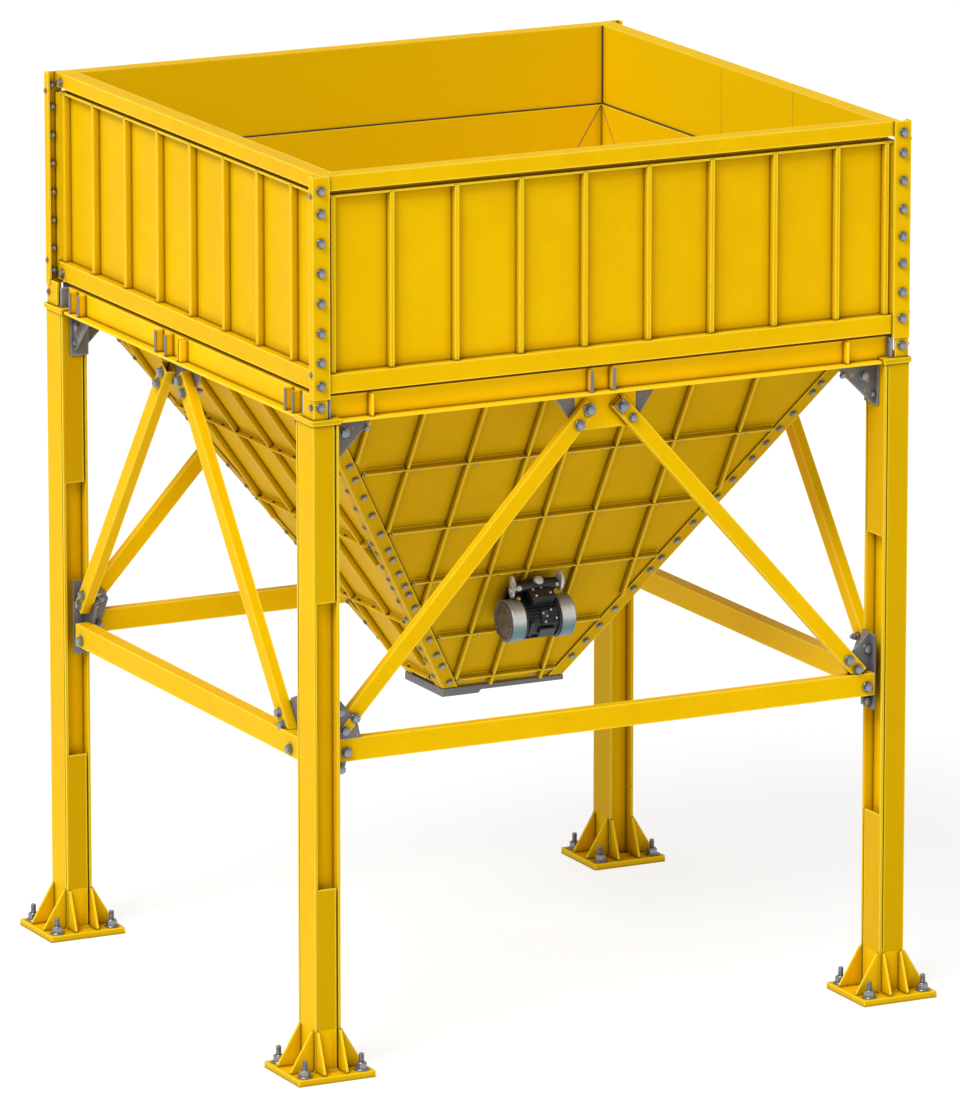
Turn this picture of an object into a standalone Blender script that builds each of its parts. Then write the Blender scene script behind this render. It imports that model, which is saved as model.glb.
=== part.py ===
"""Steel feed hopper on four legs.

A square bin of ribbed panels sits on a ring beam.  Under it hangs a pyramid
hopper with a rectangular outlet flange and one vibrator motor.  Four built-up
columns with base plates, tie beams, inverted-V braces and gussets carry it.

Units: metres.  +Z up, X along the wide front, -Y is the front with the motor.
The origin is on the floor, under the middle of the four base plates.
"""
import math

import bpy
import bmesh
from mathutils import Matrix, Vector

# ----------------------------------------------------------------------------
# driving dimensions
# ----------------------------------------------------------------------------
HX = 1.500            # half width of the bin over the corner posts, X
HY = 1.425            # half depth of the bin over the corner posts, Y
Z_TOP = 4.100         # rim of the bin
Z_BIN = 3.100         # bottom of the corner posts
GAP = 0.0003          # clearance between pieces that touch

# bin walls, d is measured inwards from the rail face
WALL_D = 0.085        # rail face to inner face
LINER_T = 0.010       # wear liner on the lower inside
LINER_TOP = 3.720
SIDE_SET = 0.050      # side walls stand back from the posts by this much
FRONT_SET = 0.0103    # front and back walls sit behind the post legs
RAIL_TOP_H = 0.069
RAIL_BOT = (3.123, 3.208)
SKIN_D = 0.046        # outer skin behind the rail face
SKIN_T = 0.008
RIB_D = 0.012         # rib front behind the rail face
RIB_W = 0.020
MITRE_T = 0.011       # width of the mitre plates along the wall
LIP_Z = (3.998, 4.008)
FRONT_RIBS = (0.3195, 0.0185)     # pitch and middle of the rib row
SIDE_RIBS = (0.3502, -0.020)
END_RIB = 0.062                   # end ribs stand this far in from the mitre

# corner posts
POST_LEG_X = 0.084
POST_LEG_Y = 0.040
POST_T = 0.010

# ring beam
RING_BOT = 2.988
RING_FLANGE_T = 0.012
RING_TOP = 3.103
RING_WEB_D = 0.050
RING_FLANGE_D = (0.004, 0.130)

# columns
COL_X = 0.125
COL_Y = 0.175
COL_FLANGE_T = 0.012
COL_CORE_D = 0.050
COL_PLATE_T = 0.008
CAP_T = 0.024
CAP_TOP = 3.010
CAP_OVER = 0.008
COVER_TOP_Z = 2.180   # upper cover plate runs from here to the cap
COVER_LOW_Z = 0.870   # lower cover plate runs from the base to here
BASE_X = 0.380
BASE_Y = 0.360
BASE_T = 0.030
STIFF_H = 0.185
STIFF_T = 0.010

# tie beams
TIE_Z = (1.431, 1.536)
SIDE_TIE_Z = (1.415, 1.520)
TIE_OUT = 0.0525       # outer face of the front and back ties
TIE_IN = 0.1025
SIDE_TIE_OUT = 0.0275
SIDE_TIE_IN = 0.0975
TIE_END = 0.0087      # tie end to column face
SIDE_TIE_END = 0.060
TIE_WALL = 0.006

# braces
BRACE_W = 0.072
BRACE_D = 0.050
BRACE_WALL = 0.005
FRONT_BRACE_D = (TIE_IN - 0.0003 - BRACE_D + 0.008, TIE_IN - 0.0003)   # from the outer face of the legs
SIDE_BRACE_D = (SIDE_TIE_IN - 0.0003 - BRACE_D, SIDE_TIE_IN - 0.0003)

# pyramid hopper, reference planes are the outer faces of the plates
PYR_TOP_Z = 2.985
PYR_TOP_X = 1.357
PYR_TOP_Y = 1.151
PYR_BOT_Z = 1.379
OUT_CX = 0.061        # the outlet stands a little off the middle
OUT_HX = 0.300
OUT_HY = 0.182
PYR_T = 0.008
PYR_FRONT_TOP_Z = 3.260
BAND_H = 0.030
BAND_LEG = 0.034
HRIB_W = 0.012
HRIB_H = 0.030
ANGLE_LEG = 0.060
ANGLE_T = 0.008
FRONT_BANDS = (2.640, 2.300, 2.010, 1.690, 1.440)
SIDE_BANDS = (2.615, 2.210, 1.770, 1.440)
FRONT_HRIBS = (-1.080, -0.808, -0.502, -0.204, -0.012, 0.245, 0.545, 0.876)
SIDE_HRIBS = (-0.90, -0.54, -0.18, 0.18, 0.54, 0.90)

# outlet flange
OUTLET_TOP = 1.376
OUTLET_BOT = 1.339
OUTLET_STEP = 0.015

# middle of each pair of braces
MID = {"front": 0.0, "back": 0.0, "left": 0.145, "right": -0.060}

YELLOW = (0.78, 0.48, 0.005)
GREY = (0.17, 0.17, 0.18)
BLACK = (0.025, 0.026, 0.030)
STEEL = (0.55, 0.56, 0.58)

# ----------------------------------------------------------------------------
# scene set-up
# ----------------------------------------------------------------------------
for ob in list(bpy.data.objects):
    bpy.data.objects.remove(ob, do_unlink=True)
for blocks in (bpy.data.meshes, bpy.data.curves, bpy.data.materials):
    for block in list(blocks):
        if block.users == 0:
            blocks.remove(block)

parts = bpy.data.collections.new("feed_hopper")
tools = bpy.data.collections.new("cutters")
bpy.context.scene.collection.children.link(parts)
bpy.context.scene.collection.children.link(tools)


def material(name, rgb, rough, metal):
    m = bpy.data.materials.new(name)
    m.use_nodes = True
    bsdf = m.node_tree.nodes["Principled BSDF"]
    bsdf.inputs["Base Color"].default_value = (rgb[0], rgb[1], rgb[2], 1.0)
    bsdf.inputs["Roughness"].default_value = rough
    bsdf.inputs["Metallic"].default_value = metal
    m.diffuse_color = (rgb[0], rgb[1], rgb[2], 1.0)
    return m


FINISH = {
    "yellow": (YELLOW, 0.45, 0.0),
    "grey": (GREY, 0.5, 0.3),
    "black": (BLACK, 0.4, 0.0),
    "steel": (STEEL, 0.3, 1.0),
}


def link_part(ob, finish):
    rgb, rough, metal = FINISH[finish]
    ob.data.materials.clear()
    ob.data.materials.append(material(ob.name + "_finish", rgb, rough, metal))
    parts.objects.link(ob)
    return ob


def link_tool(ob):
    tools.objects.link(ob)
    ob.hide_render = True
    ob.display_type = "WIRE"
    return ob


# ----------------------------------------------------------------------------
# shapes
# ----------------------------------------------------------------------------
def mesh_object(name, bm):
    bmesh.ops.recalc_face_normals(bm, faces=bm.faces[:])
    me = bpy.data.meshes.new(name)
    bm.to_mesh(me)
    bm.free()
    return bpy.data.objects.new(name, me)


def add_box(bm, x, y, z):
    """A box between the given limits, each given in either order."""
    lo = Vector((min(x), min(y), min(z)))
    hi = Vector((max(x), max(y), max(z)))
    size = hi - lo
    mid = (hi + lo) / 2
    mat = Matrix.Translation(mid) @ Matrix.Diagonal((size.x, size.y, size.z, 1.0))
    bmesh.ops.create_cube(bm, size=1.0, matrix=mat)


def boxes(name, items, frame=None):
    bm = bmesh.new()
    for x, y, z in items:
        add_box(bm, x, y, z)
    if frame is not None:
        bm.transform(frame)
    return mesh_object(name, bm)


def outline_mesh(loops, thickness):
    """A flat outline with holes, filled and extruded about its own plane."""
    cu = bpy.data.curves.new("outline", "CURVE")
    cu.dimensions = "2D"
    cu.fill_mode = "BOTH"
    cu.extrude = thickness / 2
    for loop in loops:
        sp = cu.splines.new("POLY")
        sp.points.add(len(loop) - 1)
        for p, (u, v) in zip(sp.points, loop):
            p.co = (u, v, 0.0, 1.0)
        sp.use_cyclic_u = True
    ob = bpy.data.objects.new("outline", cu)
    bpy.context.scene.collection.objects.link(ob)
    bpy.context.view_layer.update()
    dg = bpy.context.evaluated_depsgraph_get()
    me = bpy.data.meshes.new_from_object(ob.evaluated_get(dg))
    bpy.data.objects.remove(ob, do_unlink=True)
    bpy.data.curves.remove(cu)
    return me


def frame_of(origin, u, v):
    u = Vector(u).normalized()
    v = Vector(v).normalized()
    w = u.cross(v).normalized()
    m = Matrix.Identity(4)
    for i in range(3):
        m[i][0], m[i][1], m[i][2], m[i][3] = u[i], v[i], w[i], origin[i]
    return m


def plates(name, items):
    """Several extruded outlines: (loops, thickness, frame, shift along w)."""
    bm = bmesh.new()
    for loops, thickness, frame, shift in items:
        me = outline_mesh(loops, thickness)
        me.transform(frame @ Matrix.Translation((0, 0, shift)))
        bm.from_mesh(me)
        bpy.data.meshes.remove(me)
    bmesh.ops.remove_doubles(bm, verts=bm.verts[:], dist=1e-6)
    bmesh.ops.dissolve_limit(bm, angle_limit=math.radians(0.05), verts=bm.verts[:],
                             edges=bm.edges[:], use_dissolve_boundaries=False)
    return mesh_object(name, bm)


def combine(base, tool, operation):
    link_tool(tool)
    mod = base.modifiers.new(operation.lower() + "_" + tool.name, "BOOLEAN")
    mod.operation = operation
    mod.solver = "EXACT"
    mod.object = tool
    return base


def fuse(base, *more):
    for tool in more:
        combine(base, tool, "UNION")
    return base


def cut(base, *more):
    for tool in more:
        combine(base, tool, "DIFFERENCE")
    return base


def slice_mesh(ob, point, normal):
    """Remove what lies on the normal's side of a plane and close the cut."""
    bm = bmesh.new()
    bm.from_mesh(ob.data)
    geom = bm.verts[:] + bm.edges[:] + bm.faces[:]
    res = bmesh.ops.bisect_plane(bm, geom=geom, dist=1e-7, plane_co=Vector(point),
                                 plane_no=Vector(normal), clear_outer=True)
    rim = [g for g in res["geom_cut"] if isinstance(g, bmesh.types.BMEdge)]
    bmesh.ops.triangle_fill(bm, use_beauty=True, use_dissolve=False, edges=rim)
    bmesh.ops.recalc_face_normals(bm, faces=bm.faces[:])
    bm.to_mesh(ob.data)
    bm.free()
    return ob


def rect(u0, u1, v0, v1):
    return [(u0, v0), (u1, v0), (u1, v1), (u0, v1)]


def corner_name(sx, sy):
    return ("front" if sy < 0 else "back") + ("_left" if sx < 0 else "_right")


CORNERS = [(-1, -1), (1, -1), (-1, 1), (1, 1)]


# ----------------------------------------------------------------------------
# gusset brackets round the inner corner of a column
# ----------------------------------------------------------------------------
BACK_T = 0.008


def bracket(name, sx, sy, z0, z1, legs, plates_x, plates_y, g=GAP):
    """A bent back plate round the inner corner of a column, with gussets.

    plates_x: [(offset range from the front face, outline)] in the XZ plane,
    outline points are (distance from the column, z).  plates_y the same in YZ.
    """
    xi, yi = HX - COL_X, HY - COL_Y          # inner faces of the column
    t = BACK_T
    lx, ly = legs                            # how far the back plate wraps
    loop = [(sx * (xi - g), sy * (yi - g)), (sx * (xi - g), sy * (yi + lx)),
            (sx * (xi - g - t), sy * (yi + lx)), (sx * (xi - g - t), sy * (yi - g - t)),
            (sx * (xi + ly), sy * (yi - g - t)), (sx * (xi + ly), sy * (yi - g))]
    ob = plates(name, [([loop], z1 - z0, frame_of((0, 0, (z0 + z1) / 2), (1, 0, 0), (0, 1, 0)), 0.0)])
    items = []
    for (d0, d1), outline in plates_x:
        lp = [(sx * (xi - r), z) for r, z in outline]
        items.append(([lp], d1 - d0, frame_of((0, sy * (HY - (d0 + d1) / 2), 0), (1, 0, 0), (0, 0, 1)), 0.0))
    for (d0, d1), outline in plates_y:
        lp = [(sy * (yi - r), z) for r, z in outline]
        items.append(([lp], d1 - d0, frame_of((sx * (HX - (d0 + d1) / 2), 0, 0), (0, 1, 0), (0, 0, 1)), 0.0))
    fuse(ob, plates(name + "_plates", items))
    return ob


def knee(sx, sy):
    """Gussets under the ring beam, welded to the column."""
    zt = CAP_TOP - CAP_T + 0.004
    rim = 0.004
    zk = CAP_TOP - CAP_T - GAP
    kx = [(rim, zk), (0.208, zk), (0.208, zk - 0.012), (0.014, zt - 0.205), (rim, zt - 0.205)]
    ky = [(rim, zk), (0.170, zk), (0.170, zk - 0.012), (0.014, zt - 0.175), (rim, zt - 0.175)]
    return bracket("knee_" + corner_name(sx, sy), sx, sy, zt - 0.205, zt, (0.120, 0.085),
                   [((0.082, 0.092), kx)], [((0.058, 0.068), ky)], -0.002)


# ----------------------------------------------------------------------------
# columns with cap, cover plates, base plate and base stiffeners
# ----------------------------------------------------------------------------
def column(sx, sy):
    name = "column_" + corner_name(sx, sy)
    turned = (sx, sy) == (1, -1)     # this one has its open sides along X
    to_floor = (sx, sy) == (1, 1)    # this one has no lower cover plates

    # a runs across the flanges, b along them, both inwards from the outer faces
    la = COL_Y if turned else COL_X
    lb = COL_X if turned else COL_Y

    def ab(a, b, z):
        if turned:
            xs, ys = b, a
        else:
            xs, ys = a, b
        return ([sx * (HX - v) for v in xs], [sy * (HY - v) for v in ys], z)

    z0, z1 = BASE_T - 0.004, CAP_TOP - CAP_T + 0.004
    ft = COL_FLANGE_T
    c0, c1 = COL_CORE_D, lb - COL_CORE_D
    pt = COL_PLATE_T

    # twin webs, drawn as a hollow core between the flanges
    outer = rect(ft - 0.002, la - ft + 0.002, c0, c1)
    inner = rect(ft + 0.006, la - ft - 0.006, c0 + pt, c1 - pt)
    loops = []
    for lp in (outer, inner):
        pts = []
        for a, b in lp:
            (xs, ys, _z) = ab((a, a), (b, b), 0)
            pts.append((xs[0], ys[0]))
        loops.append(pts)
    core = plates(name, [(loops, z1 - z0, frame_of((0, 0, (z0 + z1) / 2), (1, 0, 0), (0, 1, 0)), 0.0)])
    link_part(core, "yellow")

    fl = boxes(name + "_flanges", [ab((0, ft), (0, lb), (z0, z1)),
                                   ab((la - ft, la), (0, lb), (z0, z1))])
    # cover plates close the open sides at the top and the bottom and leave a
    # narrow slot beside the inner flange
    slot = 0.010
    items = []
    for b in ((0.0006, 0.0006 + pt), (lb - 0.0006 - pt, lb - 0.0006)):
        items.append(ab((ft - 0.002, la - ft - slot), b, (COVER_TOP_Z, z1)))
        if not to_floor:
            items.append(ab((ft - 0.002, la - ft - slot), b, (z0, COVER_LOW_Z)))
    cov = boxes(name + "_covers", items)

    cx, cy = sx * (HX - COL_X / 2), sy * (HY - COL_Y / 2)
    ends = boxes(name + "_ends", [
        ((cx - BASE_X / 2, cx + BASE_X / 2), (cy - BASE_Y / 2, cy + BASE_Y / 2), (0, BASE_T)),
        ((cx - COL_X / 2 - CAP_OVER, cx + COL_X / 2 + CAP_OVER),
         (cy - COL_Y / 2 - CAP_OVER, cy + COL_Y / 2 + CAP_OVER), (CAP_TOP - CAP_T, CAP_TOP))])

    # eight triangular stiffeners between the column and the base plate
    items = []
    top = BASE_T + STIFF_H
    for side in (-1, 1):
        reach = BASE_X / 2 - COL_X / 2 - 0.012
        prof = [(-0.004, z0), (reach, z0), (reach, BASE_T + 0.012), (0.012, top), (-0.004, top)]
        for off in (-1, 1):
            y = cy + off * (COL_Y / 2 - 0.020) if not turned else cy + off * (COL_Y / 2 - 0.007)
            items.append(([prof], STIFF_T,
                          frame_of((cx + side * COL_X / 2, y, 0), (side, 0, 0), (0, 0, 1)), 0.0))
        reach = BASE_Y / 2 - COL_Y / 2 - 0.012
        prof = [(-0.004, z0), (reach, z0), (reach, BASE_T + 0.012), (0.012, top), (-0.004, top)]
        for off in (-1, 1):
            x = cx + off * (COL_X / 2 - 0.007) if not turned else cx + off * (COL_X / 2 - 0.018)
            items.append(([prof], STIFF_T,
                          frame_of((x, cy + side * COL_Y / 2, 0), (0, side, 0), (0, 0, 1)), 0.0))
    st = plates(name + "_stiffeners", items)

    # a shallow seam down the outer flange, and a vent in the cap over the core
    seam_b = lb - 0.018
    seam = boxes(name + "_seam", [ab((-0.01, 0.005), (seam_b, seam_b + 0.006), (BASE_T + STIFF_H + 0.02, CAP_TOP - CAP_T - 0.004))])
    vent = boxes(name + "_vent", [((cx - 0.012, cx + 0.012), (cy - 0.012, cy + 0.012), (CAP_TOP - CAP_T - 0.03, CAP_TOP + 0.02))])
    fuse(core, fl, cov, ends, st, knee(sx, sy))
    cut(core, seam, vent)
    return core


for sx, sy in CORNERS:
    column(sx, sy)


# ----------------------------------------------------------------------------
# bin corner posts with the stub that stands on the column cap
# ----------------------------------------------------------------------------
def post(sx, sy):
    name = "corner_post_" + corner_name(sx, sy)
    loop = [(sx * HX, sy * HY), (sx * (HX - POST_LEG_X), sy * HY),
            (sx * (HX - POST_LEG_X), sy * (HY - POST_T)), (sx * (HX - POST_T), sy * (HY - POST_T)),
            (sx * (HX - POST_T), sy * (HY - POST_LEG_Y)), (sx * HX, sy * (HY - POST_LEG_Y))]
    leg = plates(name, [([loop], Z_TOP - Z_BIN, frame_of((0, 0, (Z_TOP + Z_BIN) / 2), (1, 0, 0), (0, 1, 0)), 0.0)])
    link_part(leg, "yellow")
    o = 0.0035
    stub = [(sx * (HX - o), sy * (HY - o)), (sx * (HX - o - 0.068), sy * (HY - o)),
            (sx * (HX - o - 0.068), sy * (HY - o - 0.010)), (sx * (HX - o - 0.010), sy * (HY - o - 0.010)),
            (sx * (HX - o - 0.010), sy * (HY - 0.112)), (sx * (HX - o), sy * (HY - 0.112))]
    zs = (CAP_TOP + GAP, RAIL_BOT[0] - GAP)
    st = plates(name + "_stub", [([stub], zs[1] - zs[0], frame_of((0, 0, sum(zs) / 2), (1, 0, 0), (0, 1, 0)), 0.0)])
    fuse(leg, st)
    return leg


for sx, sy in CORNERS:
    post(sx, sy)


# ----------------------------------------------------------------------------
# bin walls: hollow ribbed panels, mitred at the corners
# ----------------------------------------------------------------------------
def wall(name, side):
    """side: 'front', 'back', 'left' or 'right'."""
    along_x = side in ("front", "back")
    s = -1 if side in ("front", "left") else 1
    face = (HY - FRONT_SET) if along_x else (HX - SIDE_SET)
    half = (HX - SIDE_SET) if along_x else (HY - FRONT_SET)
    rt = Z_TOP - RAIL_TOP_H
    profile = [(0, rt), (0, Z_TOP), (WALL_D, Z_TOP), (WALL_D, LINER_TOP),
               (WALL_D + LINER_T, LINER_TOP), (WALL_D + LINER_T, RAIL_BOT[0] + 0.006), (WALL_D, RAIL_BOT[0]),
               (0, RAIL_BOT[0]), (0, RAIL_BOT[1]), (SKIN_D, RAIL_BOT[1]), (SKIN_D, LIP_Z[0]),
               (0.014, LIP_Z[0]), (0.014, LIP_Z[1]), (SKIN_D - 0.004, LIP_Z[1]), (SKIN_D - 0.004, rt)]
    hole_mid = rect(SKIN_D + SKIN_T, WALL_D - SKIN_T, RAIL_BOT[1] + 0.008, rt - 0.008)
    hole_top = rect(0.006, WALL_D - 0.006, rt + 0.006, Z_TOP - 0.006)
    hole_bot = rect(0.006, WALL_D - 0.006, RAIL_BOT[0] + 0.006, RAIL_BOT[1] - 0.006)
    loops = []
    for lp in (profile, hole_mid, hole_top, hole_bot):
        loops.append([(s * (face - d), z) for d, z in lp])
    if along_x:
        # outline in the YZ plane, extruded along X
        fr = frame_of((0, 0, 0), (0, 1, 0), (0, 0, 1))
    else:
        fr = frame_of((0, 0, 0), (1, 0, 0), (0, 0, 1))
    length = 2 * half
    ob = plates(name, [(loops, length, fr, 0.0)])

    # mitres: keep a small joint between neighbours
    j = GAP
    for e in (-1, 1):
        if along_x:
            point = (e * (half - j), s * face, 0)
            normal = (e, -s, 0)
        else:
            point = (s * face, e * (half - j), 0)
            normal = (-s, e, 0)
        slice_mesh(ob, point, Vector(normal).normalized())
    link_part(ob, "yellow")

    # ribs between the rails
    (pitch, middle), n = (FRONT_RIBS, 8) if along_x else (SIDE_RIBS, 7)
    spots = [middle + (k - (n - 1) / 2) * pitch for k in range(n)]
    spots += [e * (half - END_RIB) for e in (-1, 1)]
    items = []
    zz = (RAIL_BOT[1] - 0.004, LIP_Z[1] - 0.005)
    for c in spots:
        dd = [s * (face - RIB_D), s * (face - SKIN_D - 0.004)]
        cc = (c - RIB_W / 2, c + RIB_W / 2)
        items.append((cc, dd, zz) if along_x else (dd, cc, zz))
    fuse(ob, boxes(name + "_ribs", items))
    # plates along the mitres close the ends of the outer recess
    ends = []
    for e in (-1, 1):
        c0 = half - j
        pts = [(c0, 0.0), (c0 - 0.050, 0.050), (c0 - 0.050 - MITRE_T, 0.050), (c0 - MITRE_T, 0.0)]
        loop = [(e * c, s * (face - d)) for c, d in pts]
        if not along_x:
            loop = [(y, x) for x, y in loop]
        ends.append(([loop], zz[1] - zz[0], frame_of((0, 0, sum(zz) / 2), (1, 0, 0), (0, 1, 0)), 0.0))
    fuse(ob, plates(name + "_ends", ends))
    if not along_x:
        # the liner of the side walls runs on down to the pyramid
        x = (s * (face - WALL_D - LINER_T), s * (face - WALL_D))
        fuse(ob, boxes(name + "_skirt", [(x, (-1.280, 1.280), (2.992, RAIL_BOT[0] + 0.030))]))
    return ob


wall("wall_front", "front")
wall("wall_back", "back")
wall("wall_left", "left")
wall("wall_right", "right")


# ----------------------------------------------------------------------------
# ring beam: channels with an outstanding bottom flange and plate stiffeners
# ----------------------------------------------------------------------------
def centre_gusset(name, side):
    """Plate under the ring beam that takes the heads of two braces."""
    along_x = side in ("front", "back")
    s = -1 if side in ("front", "left") else 1
    d0 = (FRONT_BRACE_D if along_x else SIDE_BRACE_D)[1] + GAP
    face = HY if along_x else HX
    mid = MID[side]
    z1 = RING_BOT + 0.004
    if along_x:
        loop = [(mid - 0.250, z1), (mid - 0.250, z1 - 0.028), (mid - 0.150, z1 - 0.170), (mid - 0.110, z1 - 0.182),
                (mid + 0.110, z1 - 0.182), (mid + 0.150, z1 - 0.170), (mid + 0.250, z1 - 0.028), (mid + 0.250, z1)]
    else:
        loop = [(mid - 0.200, z1), (mid - 0.190, z1 - 0.060), (mid - 0.120, z1 - 0.150),
                (mid + 0.120, z1 - 0.150), (mid + 0.190, z1 - 0.060), (mid + 0.200, z1)]
    t = 0.008
    off = s * (face - d0 - t / 2)
    fr = (frame_of((0, off, 0), (1, 0, 0), (0, 0, 1)) if along_x
          else frame_of((off, 0, 0), (0, 1, 0), (0, 0, 1)))
    return plates(name, [([loop], t, fr, 0.0)])


def ring(name, side):
    along_x = side in ("front", "back")
    s = -1 if side in ("front", "left") else 1
    face = HY if along_x else HX
    half = 1.420 if along_x else 1.2943
    cap_edge = (HX - COL_X - CAP_OVER) if along_x else (HY - COL_Y - CAP_OVER)
    f0, f1 = RING_FLANGE_D
    w0, w1 = RING_WEB_D, RING_WEB_D + 0.010
    zf = RING_BOT + RING_FLANGE_T
    top = RING_TOP
    profile = [(f0, RING_BOT), (f1, RING_BOT), (f1, zf), (w1, zf), (w1, top - 0.011),
               (0.120, top - 0.011), (0.120, top), (w0, top), (w0, zf), (f0, zf)]
    loop = [(s * (face - d), z) for d, z in profile]
    if along_x:
        fr = frame_of((0, 0, 0), (0, 1, 0), (0, 0, 1))
    else:
        fr = frame_of((0, 0, 0), (1, 0, 0), (0, 0, 1))
    ob = plates(name, [([loop], 2 * half, fr, 0.0)])
    link_part(ob, "yellow")

    def item(c, d, z):
        dd = [s * (face - v) for v in d]
        return (c, dd, z) if along_x else (dd, c, z)

    # notches over the column caps
    cut(ob, boxes(name + "_notch", [item((e * (cap_edge - GAP), e * 2.0), (-0.05, 0.20),
                                         (RING_BOT - 0.05, CAP_TOP + GAP)) for e in (-1, 1)]))
    t = 0.010
    st = []
    spots = (-1.203, 1.190) if along_x else (-0.016,)
    for c in spots:
        st.append(item((c - t / 2, c + t / 2), (0.010, w0 + 0.004), (zf - 0.004, top - 0.0006)))
    # end plates over the caps
    for e in (-1, 1):
        st.append(item((e * (half - 0.0106), e * (half - 0.0006)), (0.012, 0.116), (CAP_TOP + 0.001, top - 0.0006)))
    fuse(ob, boxes(name + "_stiffeners", st))
    # packers that carry the bin rails
    pk = []
    for c in (-1.05, -0.35, 0.35, 1.05):
        pk.append(item((c - 0.06, c + 0.06), (0.078, 0.094), (top - 0.004, RAIL_BOT[0] - GAP)))
    fuse(ob, boxes(name + "_packers", pk))
    fuse(ob, centre_gusset(name + "_gusset", side))
    return ob


ring("ring_beam_front", "front")
ring("ring_beam_back", "back")
ring("ring_beam_left", "left")
ring("ring_beam_right", "right")


# ----------------------------------------------------------------------------
# pyramid hopper panels
# ----------------------------------------------------------------------------
def corner_point(sx, sy, z):
    """A point on the corner line of the pyramid at height z."""
    f = (z - PYR_BOT_Z) / (PYR_TOP_Z - PYR_BOT_Z)
    x0 = OUT_CX + sx * OUT_HX
    y0 = sy * OUT_HY
    return Vector((x0 + (sx * PYR_TOP_X - x0) * f, y0 + (sy * PYR_TOP_Y - y0) * f, z))


def panel_frame(side):
    """Local frame of a panel: u level, v up the slope, w outwards."""
    if side == "front":
        a, b = (-1, -1), (1, -1)
    elif side == "back":
        a, b = (1, 1), (-1, 1)
    elif side == "left":
        a, b = (-1, 1), (-1, -1)
    else:
        a, b = (1, -1), (1, 1)
    p0 = corner_point(a[0], a[1], PYR_BOT_Z)
    p1 = corner_point(b[0], b[1], PYR_BOT_Z)
    q0 = corner_point(a[0], a[1], PYR_TOP_Z)
    u = (p1 - p0).normalized()
    v = q0 - p0
    v = (v - u * v.dot(u)).normalized()
    origin = p0 - u * (p0.dot(u))      # u is then the world X or Y coordinate
    m = frame_of(origin, u, v)
    return m, a, b


def uv_of(m, p):
    q = m.inverted() @ p
    return q.x, q.y


def panel(name, side):
    m, a, b = panel_frame(side)
    wide = side in ("front", "back")
    sin_s = m[2][1]                      # rise of v
    a0, a1 = uv_of(m, corner_point(*a, PYR_BOT_Z)), uv_of(m, corner_point(*a, PYR_TOP_Z))
    b0, b1 = uv_of(m, corner_point(*b, PYR_BOT_Z)), uv_of(m, corner_point(*b, PYR_TOP_Z))
    la = (a1[0] - a0[0]) / (a1[1] - a0[1])      # du/dv of the left edge
    lb = (b1[0] - b0[0]) / (b1[1] - b0[1])

    def v_of(z):
        return (z - PYR_BOT_Z) / sin_s

    def edge(v, inset):
        """u limits at v, inset square to the slanting edges."""
        ua = a0[0] + la * v + inset * math.sqrt(1 + la * la)
        ub = b0[0] + lb * v - inset * math.sqrt(1 + lb * lb)
        return ua, ub

    vb = v_of(PYR_BOT_Z + 0.004)
    trim = 0.0075
    if wide:
        lim = 1.3500
        # u limit is reached where the slanting edge meets the side liner
        va = (-lim - trim * math.sqrt(1 + la * la) - a0[0]) / la
        vc = (lim + trim * math.sqrt(1 + lb * lb) - b0[0]) / lb
        vt = v_of(PYR_FRONT_TOP_Z)
        loop = [(edge(vb, trim)[0], vb), (edge(vb, trim)[1], vb), (lim, vc), (lim, vt), (-lim, vt), (-lim, va)]
    else:
        vt = v_of(2.983)
        loop = [(edge(vb, trim)[0], vb), (edge(vb, trim)[1], vb), (edge(vt, trim)[1], vt), (edge(vt, trim)[0], vt)]
    ob = plates(name, [([loop], PYR_T, m, -PYR_T / 2)])
    link_part(ob, "yellow")

    clear = ANGLE_LEG + 0.004
    # level bands: an angle with one leg flat on the plate
    flat, stand = [], []
    for z in (FRONT_BANDS if wide else SIDE_BANDS):
        v = v_of(z)
        ua, ub = edge(v - BAND_LEG, clear)
        flat.append(((ua, ub), (v - BAND_LEG, v), (-0.004, 0.006)))
        stand.append(((ua, ub), (v - 0.003, v + 0.003), (0.002, BAND_H)))
    bands = boxes(name + "_band_legs", flat, m)
    stands = boxes(name + "_band_webs", stand, m)
    # ribs up the slope
    if wide:
        us = [x if side == "front" else -x for x in FRONT_HRIBS]
    else:
        us = SIDE_HRIBS
    ribs = []
    vtop = v_of(2.960)
    for uu in us:
        v0 = vb + 0.010
        if uu < a0[0] + clear * math.sqrt(1 + la * la):
            v0 = max(v0, (uu - HRIB_W / 2 - clear * math.sqrt(1 + la * la) - a0[0]) / la)
        if uu > b0[0] - clear * math.sqrt(1 + lb * lb):
            v0 = max(v0, (uu + HRIB_W / 2 + clear * math.sqrt(1 + lb * lb) - b0[0]) / lb)
        if v0 > vtop - 0.05:
            continue
        ribs.append(((uu - HRIB_W / 2, uu + HRIB_W / 2), (v0, vtop), (-0.003, HRIB_H - 0.0015)))
    rib_ob = boxes(name + "_ribs", ribs, m)
    fuse(ob, bands, stands, rib_ob)
    # seat under the ring beam flange
    s = -1 if side in ("front", "left") else 1
    if wide:
        yi = s * (PYR_TOP_Y - 0.003)
        yy, zz = (yi, s * (HY - 0.085)), (RING_BOT - GAP - 0.012, RING_BOT - GAP)
        seat = boxes(name + "_seat", [((-1.16, MID[side] - 0.262), yy, zz), ((MID[side] + 0.262, 1.16), yy, zz)])
    else:
        xi = s * (PYR_TOP_X - 0.004)
        xx, zz = (xi, s * (HX - 0.085)), (RING_BOT - GAP - 0.012, RING_BOT - GAP)
        seat = boxes(name + "_seat", [(xx, (-1.02, MID[side] - 0.215), zz), (xx, (MID[side] + 0.215, 1.02), zz)])
    fuse(ob, seat)
    return ob


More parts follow.
